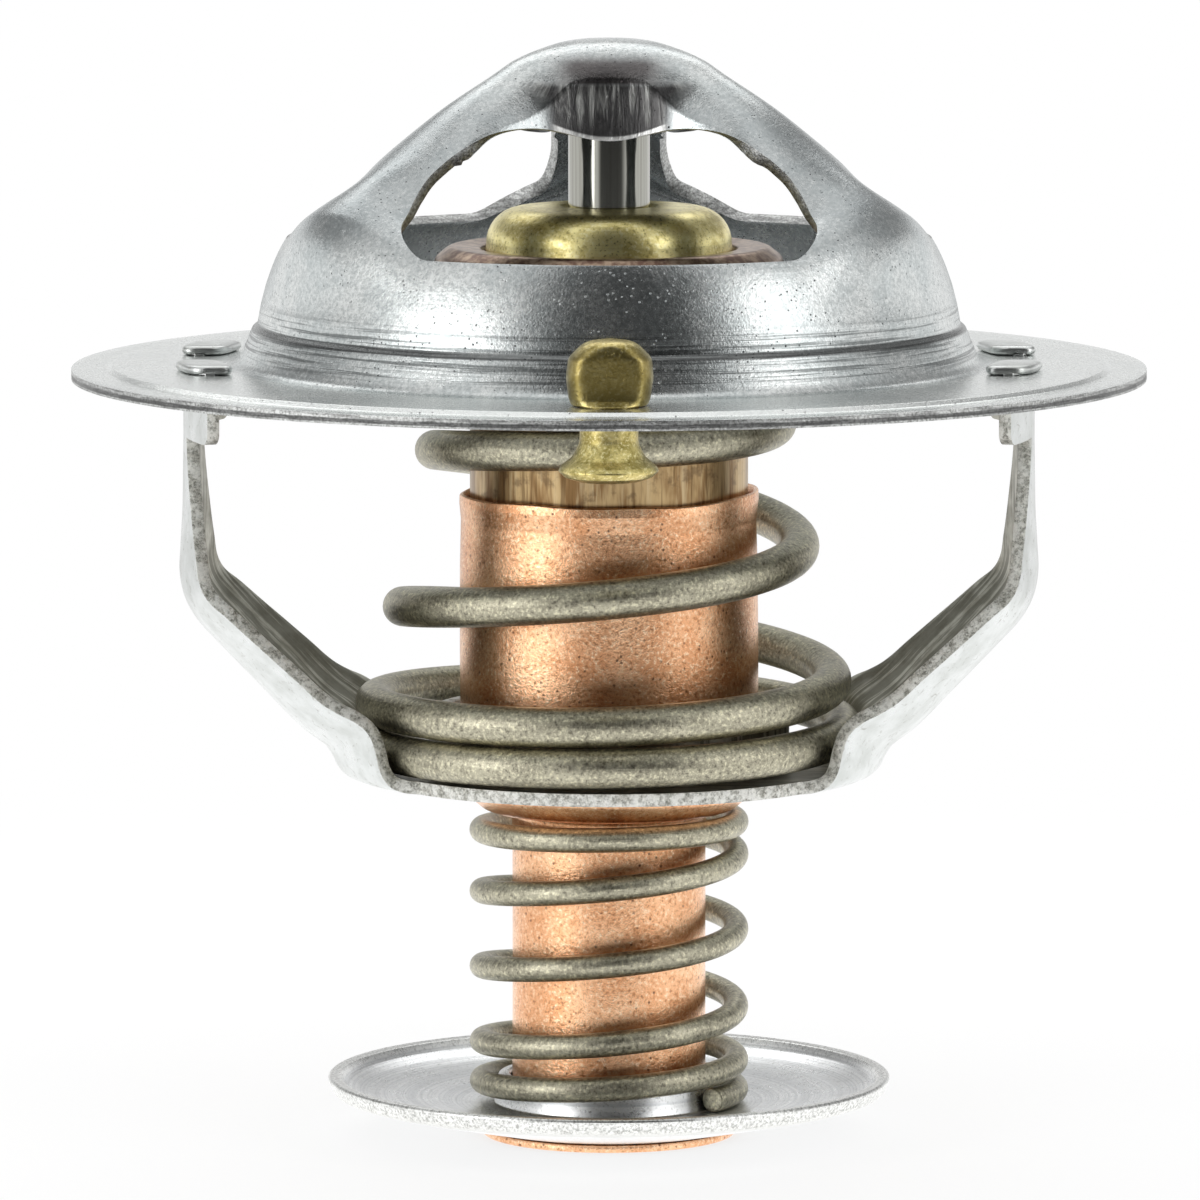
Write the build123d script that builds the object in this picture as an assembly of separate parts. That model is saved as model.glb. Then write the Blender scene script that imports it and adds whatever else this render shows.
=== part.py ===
"""Engine thermostat with a bypass valve, in millimetres.

The frame's origin is the centre of the flange's underside, +Z points up through the pressed
bridge, and the jiggle pin stands on the -Y side. Wax in the element squeezes the rubber sleeve
off the fixed push rod, so the element moves down, opens the main valve and closes the bypass.
"""
from build123d import *
import os
from math import cos, pi, sin, sqrt

# ---- flange and bridge: one pressed sheet ----
FLANGE_R = 27.0
FLANGE_W = 8.25
RIM_T = 0.5
RIM_W = 2.0
SHEET_T = 0.7
SEAT_BAND_W = 2.4
SEAT_RELIEF = 0.1
BRIDGE_H = 17.0
EDGE_H = 12.9
SHOULDER_INSET = 1.5
SHOULDER_Z = 6.95
SEAT_INSET = 1.05
SEAT_Z = 2.6
SEAT_STEP = 0.3
FOOT_ROUND = 0.6
LEG_COUNT = 3
LEG_W = 5.9
LEG_AZIMUTH = 90.0
WINDOW_CORNER_R = 3.0
WINDOW_APEX_R = 2.6
SOCKET_WALL = 0.8
SOCKET_LIP_Z = 12.1
SOCKET_ROOF = 1.0

# ---- push rod ----
ROD_R = 2.05
ROD_TIP_R = 1.1
ROD_TIP_TAPER = 4.0
ROD_BOTTOM_Z = -13.5
ROD_FIT = 0.05

# ---- lower frame: one bent strip with two arms ----
FRAME_T = 0.65
ARM_GAP = 2.65
ELBOW_Z = -9.9
LEDGE_OUTER_R = 16.1
LEDGE_OUTER_Z = -15.9
CUP_INNER_R = 12.95
CUP_RIM_Z = -16.9
BASE_TOP_Z = -19.55
BASE_EDGE_R = 12.1
COLLAR_GAP = 0.9
COLLAR_TOP_Z = -16.75
HEAD_HALF_W = 7.0
HEAD_DROP = 2.8
NECK_HALF_W = 2.9
ELBOW_HALF_W = 5.8
LEDGE_HALF_W = 6.7
CUP_HALF_W = 7.5
TAB_GAP_HALF_W = 3.3
TAB_LAP_IN = 1.1
TAB_LAP_OUT = 0.6
TAB_T = 0.5
SLOT_FIT = 0.06

# ---- wax element ----
CASE_R = 7.0
CASE_WALL = 0.6
CASE_BOTTOM_Z = -19.4
CRIMP_R = 8.8
CRIMP_TOP_Z = 6.6
CRIMP_WALL = 0.5
CRIMP_LIP_INNER_R = 6.3
SLEEVE_FLANGE_T = 0.5
WASHER_T = 0.3
CAP_FLANGE_T = 0.5
CAP_R = 6.15
CAP_TOP_Z = 9.0
CAP_ROUND = 1.6
CAP_WALL = 0.9
SLEEVE_R = 4.4
SLEEVE_END_T = 1.4
STACK_FIT = 0.02

# ---- main valve ----
VALVE_T = 0.8
VALVE_UNDERSIDE_Z = 0.9
VALVE_RIM_MARGIN = 0.1
SEAL_W = 1.5
SEAT_CLEARANCE = 0.1

# ---- copper extension cup, its tail and its foot ----
COPPER_WALL = 0.53
COPPER_LIP_Z = -5.65
COPPER_SHOULDER_Z = -21.9
COPPER_CORNER_R = 1.3
TAIL_R = 4.9
TAIL_WALL = 0.6
FOOT_R = 6.4
FOOT_T = 0.4
FOOT_BOTTOM_Z = -38.5
FOOT_SPIGOT_L = 3.0

# ---- bypass valve ----
BYPASS_R = 14.25
BYPASS_RIM_Z = -35.5
BYPASS_RIM_T = 0.75
BYPASS_WALL_H = 1.0
BYPASS_FLOOR_Z = -36.9
BYPASS_HUB_T = 1.1
BYPASS_HUB_R = 6.6
BYPASS_COLLAR_WALL = 0.65
BYPASS_COLLAR_TOP_Z = -35.3
BYPASS_FIT = 0.08
BYPASS_REST_GAP = 0.1

# ---- springs ----
MAIN_WIRE_R = 1.0
MAIN_CASE_GAP = 0.45
MAIN_CUP_GAP = 0.15
MAIN_CLOSED_TURNS = 1.15
MAIN_TURNS = 4.4
BYPASS_WIRE_R = 0.625
BYPASS_COLLAR_GAP = 0.175
BYPASS_START_TURN = -0.6
BYPASS_TURNS = 4.6
SPRING_SEAT_GAP = 0.04
POINTS_A_TURN = 12

# ---- jiggle pin ----
PIN_SKIRT_GAP = 1.05
PIN_SHANK_R = 1.42
PIN_HOLE_R = 1.75
PIN_HEAD_R = 2.1
PIN_HEAD_H = 3.3
PIN_HEAD_FLAT = 1.35
PIN_BELL_R = 2.45
PIN_BELL_TOP_Z = -1.2
PIN_BELL_BOTTOM_Z = -2.95
PIN_LIFT_GAP = 0.05

# ---- sizes that follow ----
SKIRT_FOOT_R = FLANGE_R - FLANGE_W
SEAT_R = SKIRT_FOOT_R - SEAT_INSET
SHOULDER_R = SEAT_R - SHOULDER_INSET
RIM_STEP_R = FLANGE_R - RIM_W
SEAT_BAND_R = FLANGE_R - SEAT_BAND_W
SLANT_T = SHEET_T * 1.06
ARM_OUTER_R = SKIRT_FOOT_R + ARM_GAP
ARM_INNER_R = ARM_OUTER_R - FRAME_T
VALVE_R = SEAT_R - SLANT_T + VALVE_RIM_MARGIN
PIN_AT_R = SKIRT_FOOT_R + PIN_SKIRT_GAP + PIN_HEAD_R
BASE_BOTTOM_Z = BASE_TOP_Z - FRAME_T
COPPER_R = CASE_R + STACK_FIT + COPPER_WALL
COLLAR_INNER_R = COPPER_R + COLLAR_GAP
MAIN_TOP_COIL_R = CASE_R + MAIN_CASE_GAP + MAIN_WIRE_R
MAIN_BOTTOM_COIL_R = CUP_INNER_R - MAIN_CUP_GAP - MAIN_WIRE_R
BYPASS_COLLAR_R = TAIL_R + BYPASS_FIT + BYPASS_COLLAR_WALL
BYPASS_COIL_R = BYPASS_COLLAR_R + BYPASS_COLLAR_GAP + BYPASS_WIRE_R
SOCKET_TOP_Z = BRIDGE_H - SOCKET_ROOF
CRIMP_FLOOR_Z = CRIMP_TOP_Z - CRIMP_WALL - CAP_FLANGE_T - WASHER_T - SLEEVE_FLANGE_T
SEAL_TOP_Z = SEAT_Z - SEAT_CLEARANCE
FOOT_TOP_Z = FOOT_BOTTOM_Z + FOOT_T


def outline(*corners):
    """Closed (r, z) outline; a third number on a corner is its rounding."""
    face = make_face(Polyline(*[corner[:2] for corner in corners], close=True))
    for corner in corners:
        if len(corner) == 3:
            vertex = face.vertices().sort_by_distance(Vector(corner[0], corner[1]))[0]
            face = fillet(vertex, corner[2])
    return face


def turned(*corners):
    """Solid of revolution about Z of a closed (r, z) outline."""
    return revolve(Plane.XZ * outline(*corners), Axis.Z)


def disc(radius, bottom, top):
    """Cylinder on the Z axis between two heights."""
    return Pos(0, 0, bottom) * Cylinder(radius, top - bottom, align=(Align.CENTER, Align.CENTER, Align.MIN))


def coil(wire_r, knots, radius_at):
    """Round wire along a coil; knots give its height by turn, from the left side upwards."""
    start, end = knots[0][0], knots[-1][0]
    height = Spline(*[(turn, z) for turn, z in knots])
    steps = round((end - start) * POINTS_A_TURN)
    points = []
    for step in range(steps + 1):
        turn = start + (end - start) * step / steps
        z = spline_height(height, turn)
        angle = pi + 2 * pi * turn
        points.append((radius_at(turn) * cos(angle), radius_at(turn) * sin(angle), z))
    path = Spline(*points)
    return sweep(Plane(origin=path @ 0, z_dir=path % 0) * Circle(wire_r), path=path)


def spline_height(curve, turn):
    """Height of a curve of (turn, z) at one turn, by halving."""
    low, high = 0.0, 1.0
    for _ in range(24):
        middle = (low + high) / 2
        if (curve @ middle).X < turn:
            low = middle
        else:
            high = middle
    return (curve @ low).Y


def crown_line():
    """Outer line of the crown in (r, z), from the axis over the legs to the shoulder."""
    rise = BRIDGE_H - SHOULDER_Z
    return Spline(
        (0, BRIDGE_H),
        (0.31 * SHOULDER_R, SHOULDER_Z + 0.915 * rise),
        (0.56 * SHOULDER_R, SHOULDER_Z + 0.68 * rise),
        (0.84 * SHOULDER_R, SHOULDER_Z + 0.33 * rise),
        (SHOULDER_R, SHOULDER_Z),
        tangents=[(1, 0), (0.45, -1)],
    )


def bridge_shell():
    """Crown, skirt, seat step, flange and its seating band as one sheet turned about Z."""
    crown = crown_line()
    inner = []
    for step in range(9):
        along = crown % (step / 8)
        inner.append(crown @ (step / 8) + SHEET_T * Vector(along.Y, -along.X))
    under = Spline(*inner)
    rest = Polyline(
        crown @ 1,
        (SEAT_R, SEAT_Z + SEAT_STEP),
        (SEAT_R + SEAT_STEP, SEAT_Z),
        (SKIRT_FOOT_R, SHEET_T),
        (RIM_STEP_R, SHEET_T),
        (RIM_STEP_R + 0.25, RIM_T),
        (FLANGE_R, RIM_T),
        (FLANGE_R, 0),
        (SEAT_BAND_R, 0),
        (SEAT_BAND_R - SEAT_RELIEF, SEAT_RELIEF),
        (SKIRT_FOOT_R - SLANT_T + 0.3, SEAT_RELIEF),
        (SEAT_R + SEAT_STEP - SLANT_T, SEAT_Z - SEAT_STEP),
        (SEAT_R - SLANT_T, SEAT_Z),
        under @ 1,
    )
    axis = Line(under @ 0, crown @ 0)
    face = make_face(Curve() + [crown, rest, under, axis])
    for r, z in ((SKIRT_FOOT_R, SHEET_T), (SKIRT_FOOT_R - SLANT_T + 0.3, SEAT_RELIEF)):
        vertex = face.vertices().sort_by_distance(Vector(r, z))[0]
        face = fillet(vertex, FOOT_ROUND)
    return revolve(Plane.XZ * face, Axis.Z)


def window(azimuth, grown=0.0):
    """Upright prism of one window: straight sides along the legs, a round outer end."""
    half_angle = pi / LEG_COUNT
    half_w = LEG_W / 2 - grown
    apex = half_w / sin(half_angle)
    reach = SHOULDER_R + SHEET_T + grown
    side = sqrt(reach**2 - half_w**2)
    ends = []
    for sign in (1, -1):
        along = Vector(cos(half_angle), sign * sin(half_angle))
        across = Vector(sin(half_angle), -sign * cos(half_angle))
        ends.append(along * side + across * half_w)
    left, right = ends
    sides = Polyline(left, (apex, 0), right)
    arc = ThreePointArc(right, (reach, 0), left)
    face = make_face(Curve() + [sides, arc])
    face = fillet(face.vertices().sort_by_distance(left)[0], WINDOW_CORNER_R + grown)
    face = fillet(face.vertices().sort_by_distance(right)[0], WINDOW_CORNER_R + grown)
    face = fillet(face.vertices().sort_by_distance(Vector(apex, 0))[0], WINDOW_APEX_R + grown)
    cutter = Pos(0, 0, SHOULDER_Z) * extrude(face, BRIDGE_H)
    return Rot(0, 0, azimuth) * cutter


def edge_band():
    """Space between the crown's outer face and the lower edges of the legs' bent-down sides."""
    crown = crown_line()
    rise = EDGE_H - SHOULDER_Z
    low = Bezier(
        (SHOULDER_R, SHOULDER_Z),
        (0.74 * SHOULDER_R, SHOULDER_Z + 0.42 * rise),
        (0.72 * SHOULDER_R, EDGE_H - 0.1 * rise),
        (0.3 * SHOULDER_R, EDGE_H),
    )
    rest = Polyline(low @ 1, (0, SOCKET_LIP_Z), crown @ 0)
    return revolve(Plane.XZ * make_face(Curve() + [crown, low, rest]), Axis.Z)


def arc_slot(inner_r, outer_r, low_y, high_y, bottom, top):
    """Curved bar about Z on the +X side, between two radii and two Y values."""
    ring = disc(outer_r, bottom, top) - disc(inner_r, bottom, top)
    height = top - bottom
    box = Box(outer_r, high_y - low_y, height, align=(Align.MIN, Align.MIN, Align.MIN))
    return ring & Pos(0, low_y, bottom) * box


def four_ways(solid):
    """A solid near +X +Y, repeated in the other three quarters."""
    pair = [solid, mirror(solid, Plane.XZ)]
    return pair + [mirror(one, Plane.YZ) for one in pair]


def bridge_flange():
    """Pressed bridge: three legs with bent-down sides, rod socket, slots and jiggle hole."""
    shell = bridge_shell()
    band = edge_band()
    for index in range(LEG_COUNT):
        azimuth = LEG_AZIMUTH + (index + 0.5) * 360 / LEG_COUNT
        shell += band & (window(azimuth, SHEET_T) - window(azimuth))
        shell -= window(azimuth)
    bore_r = ROD_R + ROD_FIT
    socket = disc(bore_r + SOCKET_WALL, SOCKET_LIP_Z, BRIDGE_H - SHEET_T / 2)
    shell = shell + socket - disc(bore_r, SOCKET_LIP_Z, SOCKET_TOP_Z)
    slot = arc_slot(
        ARM_INNER_R - SLOT_FIT,
        ARM_OUTER_R + SLOT_FIT,
        TAB_GAP_HALF_W - SLOT_FIT,
        HEAD_HALF_W + SLOT_FIT,
        0,
        SHEET_T,
    )
    for one in four_ways(slot):
        shell -= one
    return shell - Pos(0, -PIN_AT_R, 0) * disc(PIN_HOLE_R, 0, SHEET_T)


def push_rod():
    """Steel rod held in the bridge's socket, tapered at its lower end."""
    return turned(
        (0, SOCKET_TOP_Z),
        (ROD_R - 0.3, SOCKET_TOP_Z),
        (ROD_R, SOCKET_TOP_Z - 0.3),
        (ROD_R, ROD_BOTTOM_Z + ROD_TIP_TAPER),
        (ROD_TIP_R, ROD_BOTTOM_Z, 0.5),
        (0, ROD_BOTTOM_Z),
    )


def frame_sheet():
    """Arms, ledge, cup wall and base as one sheet turned about Z."""
    slope = FRAME_T * 0.45
    return turned(
        (ARM_OUTER_R, SEAT_RELIEF),
        (ARM_OUTER_R, ELBOW_Z - slope, 3.0),
        (LEDGE_OUTER_R, LEDGE_OUTER_Z - slope, 1.2),
        (CUP_INNER_R + FRAME_T, CUP_RIM_Z - slope, 0.8),
        (CUP_INNER_R + FRAME_T, BASE_BOTTOM_Z, 1.1),
        (COLLAR_INNER_R + FRAME_T, BASE_BOTTOM_Z),
        (COLLAR_INNER_R + FRAME_T, BASE_TOP_Z),
        (CUP_INNER_R, BASE_TOP_Z, 0.5),
        (CUP_INNER_R, CUP_RIM_Z, 1.3),
        (LEDGE_OUTER_R - slope, LEDGE_OUTER_Z + slope, 0.6),
        (ARM_INNER_R, ELBOW_Z, 2.4),
        (ARM_INNER_R, SEAT_RELIEF),
    )


def frame_blank():
    """Side outline of the strip, from the two heads down to the cup."""
    half = [
        (HEAD_HALF_W, SEAT_RELIEF),
        (HEAD_HALF_W, -HEAD_DROP),
        (NECK_HALF_W, -HEAD_DROP),
        (ELBOW_HALF_W, ELBOW_Z),
        (LEDGE_HALF_W, LEDGE_OUTER_Z + 0.4),
        (CUP_HALF_W, LEDGE_OUTER_Z - 0.1),
        (CUP_HALF_W, BASE_BOTTOM_Z),
    ]
    face = make_face(Polyline(*half, *[(-y, z) for y, z in reversed(half)], close=True))
    for sign in (1, -1):
        vertex = face.vertices().sort_by_distance(Vector(sign * HEAD_HALF_W, -HEAD_DROP))[0]
        face = fillet(vertex, 0.6)
        vertex = face.vertices().sort_by_distance(Vector(sign * NECK_HALF_W, -HEAD_DROP))[0]
        face = fillet(vertex, 0.5)
    return extrude(Plane.YZ * face, 2 * ARM_OUTER_R, both=True)


def lower_frame():
    """Bent strip that holds the main spring, riveted to the flange by folded tabs."""
    frame = frame_sheet() & frame_blank()
    base = disc(BASE_EDGE_R, BASE_BOTTOM_Z, BASE_TOP_Z)
    collar = disc(COLLAR_INNER_R + FRAME_T, BASE_BOTTOM_Z, COLLAR_TOP_Z)
    frame = frame + base + collar - disc(COLLAR_INNER_R, BASE_BOTTOM_Z, COLLAR_TOP_Z)
    post = arc_slot(
        ARM_INNER_R,
        ARM_OUTER_R,
        TAB_GAP_HALF_W,
        HEAD_HALF_W,
        SEAT_RELIEF,
        SHEET_T + TAB_T,
    )
    fold = arc_slot(
        ARM_INNER_R - TAB_LAP_IN,
        ARM_OUTER_R + TAB_LAP_OUT,
        TAB_GAP_HALF_W,
        HEAD_HALF_W,
        SHEET_T,
        SHEET_T + TAB_T,
    )
    for tab in four_ways(post + fold):
        frame += tab
    return frame


def main_valve():
    """Pressed valve disc with a drawn neck that bears under the crimped case."""
    bore_r = CASE_R + STACK_FIT
    top = VALVE_UNDERSIDE_Z + VALVE_T
    return turned(
        (bore_r, VALVE_UNDERSIDE_Z, 0.6),
        (VALVE_R, VALVE_UNDERSIDE_Z, 0.3),
        (VALVE_R, top, 0.3),
        (bore_r + VALVE_T, top, 0.6),
        (bore_r + VALVE_T, CRIMP_FLOOR_Z - CRIMP_WALL),
        (bore_r, CRIMP_FLOOR_Z - CRIMP_WALL),
    )


def valve_seal():
    """Rubber ring on the valve's rim, which closes against the bridge's seat."""
    bottom = VALVE_UNDERSIDE_Z + VALVE_T
    inner_r = SEAT_R - SLANT_T - SEAT_CLEARANCE - SEAL_W
    return turned(
        (inner_r, bottom),
        (inner_r + SEAL_W, bottom),
        (inner_r + SEAL_W, SEAL_TOP_Z - 0.2, 0.15),
        (inner_r + SEAL_W / 2, SEAL_TOP_Z, 0.4),
        (inner_r, SEAL_TOP_Z - 0.3, 0.15),
    )


def element_case():
    """Brass case of the wax element; its open top is crimped over the stack."""
    inner_r = CASE_R - CASE_WALL
    floor = CRIMP_FLOOR_Z
    stack_r = CRIMP_R - CRIMP_WALL
    return turned(
        (0, CASE_BOTTOM_Z),
        (CASE_R, CASE_BOTTOM_Z, 1.2),
        (CASE_R, floor - CRIMP_WALL),
        (CRIMP_R, floor - CRIMP_WALL, 0.4),
        (CRIMP_R, CRIMP_TOP_Z, 0.8),
        (CRIMP_LIP_INNER_R, CRIMP_TOP_Z, 0.2),
        (CRIMP_LIP_INNER_R, CRIMP_TOP_Z - CRIMP_WALL),
        (stack_r, CRIMP_TOP_Z - CRIMP_WALL, 0.25),
        (stack_r, floor),
        (inner_r, floor, 0.3),
        (inner_r, CASE_BOTTOM_Z + CASE_WALL, 0.6),
        (0, CASE_BOTTOM_Z + CASE_WALL),
    )


def guide_cap():
    """Brass cap that guides the push rod and is held in the crimp by its flange."""
    bore_r = ROD_R + ROD_FIT
    flange_r = CRIMP_R - CRIMP_WALL - STACK_FIT
    flange_top = CRIMP_TOP_Z - CRIMP_WALL
    flange_bottom = flange_top - CAP_FLANGE_T
    return turned(
        (bore_r, flange_bottom),
        (flange_r, flange_bottom),
        (flange_r, flange_top, 0.25),
        (CAP_R, flange_top),
        (CAP_R, CAP_TOP_Z, CAP_ROUND),
        (bore_r, CAP_TOP_Z, 0.3),
    )


def backup_washer():
    """Thin washer that keeps the rubber from creeping into the guide."""
    top = CRIMP_TOP_Z - CRIMP_WALL - CAP_FLANGE_T
    outer_r = CRIMP_R - CRIMP_WALL - STACK_FIT
    return disc(outer_r, top - WASHER_T, top) - disc(ROD_R + ROD_FIT, top - WASHER_T, top)


def rubber_sleeve():
    """Rubber sleeve round the rod, closed below, its flange gripped in the crimp."""
    bore_r = ROD_R + ROD_FIT
    flange_r = CRIMP_R - CRIMP_WALL - STACK_FIT
    top = CRIMP_FLOOR_Z + SLEEVE_FLANGE_T
    tip_z = ROD_BOTTOM_Z - 0.1
    return turned(
        (bore_r, top),
        (flange_r, top),
        (flange_r, CRIMP_FLOOR_Z),
        (SLEEVE_R, CRIMP_FLOOR_Z, 0.5),
        (SLEEVE_R, ROD_BOTTOM_Z + ROD_TIP_TAPER, 0.8),
        (ROD_TIP_R + SLEEVE_R - ROD_R, tip_z - SLEEVE_END_T, 1.0),
        (0, tip_z - SLEEVE_END_T),
        (0, tip_z),
        (ROD_TIP_R + ROD_FIT, tip_z),
        (bore_r, ROD_BOTTOM_Z + ROD_TIP_TAPER),
    )


def wax_charge():
    """Wax that fills the case round the rubber sleeve."""
    outer_r = CASE_R - CASE_WALL - STACK_FIT
    bottom = CASE_BOTTOM_Z + CASE_WALL + STACK_FIT
    body = turned(
        (0, bottom),
        (outer_r, bottom, 0.7),
        (outer_r, CRIMP_FLOOR_Z - 0.6),
        (0, CRIMP_FLOOR_Z - 0.6),
    )
    sleeve_r = SLEEVE_R + STACK_FIT
    tip_z = ROD_BOTTOM_Z - 0.1 - SLEEVE_END_T - STACK_FIT
    return body - turned(
        (0, tip_z),
        (ROD_TIP_R + sleeve_r - ROD_R, tip_z, 0.9),
        (sleeve_r, ROD_BOTTOM_Z + ROD_TIP_TAPER),
        (sleeve_r, CRIMP_FLOOR_Z),
        (0, CRIMP_FLOOR_Z),
    )


def copper_cup():
    """Copper cup pressed on the case, drawn below into a narrow hollow tail."""
    inner_r = CASE_R + STACK_FIT
    inner_tail_r = TAIL_R - TAIL_WALL
    floor_z = COPPER_SHOULDER_Z + COPPER_WALL
    return turned(
        (inner_r, COPPER_LIP_Z),
        (COPPER_R, COPPER_LIP_Z, 0.2),
        (COPPER_R, COPPER_SHOULDER_Z, COPPER_CORNER_R),
        (TAIL_R, COPPER_SHOULDER_Z, 0.4),
        (TAIL_R, FOOT_TOP_Z),
        (inner_tail_r, FOOT_TOP_Z),
        (inner_tail_r, floor_z, 0.6),
        (inner_r, floor_z, 0.9),
    )


def foot_cap():
    """Copper foot pressed into the tail; its flange carries the bypass disc."""
    spigot_r = TAIL_R - TAIL_WALL - STACK_FIT
    foot = turned(
        (0, FOOT_BOTTOM_Z),
        (FOOT_R, FOOT_BOTTOM_Z, 0.15),
        (FOOT_R, FOOT_TOP_Z, 0.15),
        (spigot_r, FOOT_TOP_Z),
        (spigot_r, FOOT_TOP_Z + FOOT_SPIGOT_L, 0.4),
        (0, FOOT_TOP_Z + FOOT_SPIGOT_L),
    )
    return foot


def bypass_disc():
    """Turned bypass valve: a shallow dish with a collar that slides on the tail."""
    bore_r = TAIL_R + BYPASS_FIT
    inner_rim_r = BYPASS_R - BYPASS_RIM_T
    underside_z = FOOT_TOP_Z + BYPASS_REST_GAP
    wall_bottom_z = BYPASS_RIM_Z - BYPASS_WALL_H
    hub_top_z = underside_z + BYPASS_HUB_T
    return turned(
        (bore_r, underside_z),
        (BYPASS_HUB_R, underside_z, 0.4),
        (BYPASS_R - 0.35, wall_bottom_z, 0.5),
        (BYPASS_R, BYPASS_RIM_Z, 0.25),
        (inner_rim_r, BYPASS_RIM_Z, 0.2),
        (inner_rim_r - 0.5, BYPASS_RIM_Z - 0.75, 0.5),
        (BYPASS_COIL_R + BYPASS_WIRE_R + 0.3, hub_top_z, 0.5),
        (BYPASS_COLLAR_R, hub_top_z, 0.2),
        (BYPASS_COLLAR_R, BYPASS_COLLAR_TOP_Z, 0.2),
        (bore_r, BYPASS_COLLAR_TOP_Z, 0.2),
    )


def main_spring():
    """Conical valve spring, wide coil down in the frame's cup."""
    low = BASE_TOP_Z + MAIN_WIRE_R + SPRING_SEAT_GAP
    high = VALVE_UNDERSIDE_Z - MAIN_WIRE_R - SPRING_SEAT_GAP
    pitch = (high - low) / (MAIN_TURNS - 1.0)
    wire = 2 * MAIN_WIRE_R + 0.08
    knots = [
        (0, low),
        (0.3, low + 0.12 * wire),
        (1.0, low + 1.04 * wire),
        (1.5, low + 1.6 * wire),
        (2.0, low + 1.27 * pitch),
        (2.5, low + 1.86 * pitch),
        (3.0, high - 1.72 * wire),
        (3.5, high - 1.04 * wire),
        (4.0, high - 0.15 * wire),
        (MAIN_TURNS, high),
    ]

    def radius_at(turn):
        active = (turn - MAIN_CLOSED_TURNS) / (3.2 - MAIN_CLOSED_TURNS)
        return MAIN_BOTTOM_COIL_R + (MAIN_TOP_COIL_R - MAIN_BOTTOM_COIL_R) * min(max(active, 0), 1)

    return coil(MAIN_WIRE_R, knots, radius_at)


def bypass_spring():
    """Straight spring between the copper shoulder and the bypass disc."""
    low = FOOT_TOP_Z + BYPASS_REST_GAP + BYPASS_HUB_T + BYPASS_WIRE_R + SPRING_SEAT_GAP
    high = COPPER_SHOULDER_Z - BYPASS_WIRE_R - SPRING_SEAT_GAP
    wire = 2 * BYPASS_WIRE_R + 0.06
    span = high - low
    knots = [
        (BYPASS_START_TURN, low),
        (-0.2, low + 0.08 * wire),
        (0.4, low + 1.02 * wire),
        (1.0, low + 0.18 * span),
        (2.0, low + 0.46 * span),
        (3.0, low + 0.74 * span),
        (3.6, high - 1.02 * wire),
        (4.2, high - 0.1 * wire),
        (BYPASS_TURNS, high),
    ]
    return coil(BYPASS_WIRE_R, knots, lambda turn: BYPASS_COIL_R)


def jiggle_pin():
    """Loose brass vent pin: pinched round head above, bell below the flange."""
    flange_top = SHEET_T
    head_top = flange_top + PIN_HEAD_H
    pin = turned(
        (0, PIN_BELL_BOTTOM_Z),
        (PIN_BELL_R - 0.3, PIN_BELL_BOTTOM_Z, 0.2),
        (PIN_BELL_R, PIN_BELL_BOTTOM_Z + 0.45, 0.2),
        (PIN_SHANK_R, PIN_BELL_TOP_Z, 0.4),
        (PIN_SHANK_R, flange_top + PIN_LIFT_GAP),
        (PIN_HEAD_R, flange_top + PIN_LIFT_GAP, 0.4),
        (PIN_HEAD_R, head_top, 1.7),
        (0, head_top),
    )
    keep = Box(4 * PIN_HEAD_R, 2 * PIN_HEAD_FLAT, 4 * PIN_HEAD_H)
    head_zone = disc(2 * PIN_HEAD_R, flange_top, head_top + 1)
    return Pos(0, -PIN_AT_R, 0) * (pin - (head_zone - keep))


PIECES = [
    bridge_flange,
    push_rod,
    lower_frame,
    main_spring,
    main_valve,
    valve_seal,
    element_case,
    guide_cap,
    backup_washer,
    rubber_sleeve,
    wax_charge,
    copper_cup,
    foot_cap,
    bypass_disc,
    bypass_spring,
    jiggle_pin,
]

os.makedirs("parts", exist_ok=True)
for piece in PIECES:
    export_step(piece(), f"parts/{piece.__name__}.step")
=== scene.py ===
"""Looks of an engine thermostat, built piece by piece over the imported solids.

Sizes are in millimetres in the part's own frame: the origin is the centre of the flange's
underside, +Z points up through the pressed bridge, and the jiggle pin stands on the -Y side.
"""
import bpy
import numpy as np
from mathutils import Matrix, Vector


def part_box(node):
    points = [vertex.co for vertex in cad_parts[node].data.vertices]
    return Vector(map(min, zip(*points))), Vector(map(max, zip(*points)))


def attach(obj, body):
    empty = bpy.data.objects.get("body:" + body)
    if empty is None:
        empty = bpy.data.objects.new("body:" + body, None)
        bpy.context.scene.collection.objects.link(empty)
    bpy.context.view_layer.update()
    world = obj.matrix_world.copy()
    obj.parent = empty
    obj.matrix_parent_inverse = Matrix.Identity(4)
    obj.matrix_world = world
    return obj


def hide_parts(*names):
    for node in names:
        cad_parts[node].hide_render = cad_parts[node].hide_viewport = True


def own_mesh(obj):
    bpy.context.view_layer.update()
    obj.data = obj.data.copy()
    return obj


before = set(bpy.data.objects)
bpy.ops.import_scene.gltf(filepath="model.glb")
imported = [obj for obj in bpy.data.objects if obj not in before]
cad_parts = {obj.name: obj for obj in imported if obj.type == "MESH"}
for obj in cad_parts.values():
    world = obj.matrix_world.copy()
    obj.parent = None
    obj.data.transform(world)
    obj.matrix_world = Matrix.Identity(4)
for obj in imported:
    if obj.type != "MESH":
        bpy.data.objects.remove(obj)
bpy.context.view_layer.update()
MM = 0.001


def cad(node, corner, axis):
    """A size off a CAD node's box, in millimetres: its low (0) or high (1) corner along an axis."""
    return round(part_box(node)[corner][axis] / MM, 3)


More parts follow.
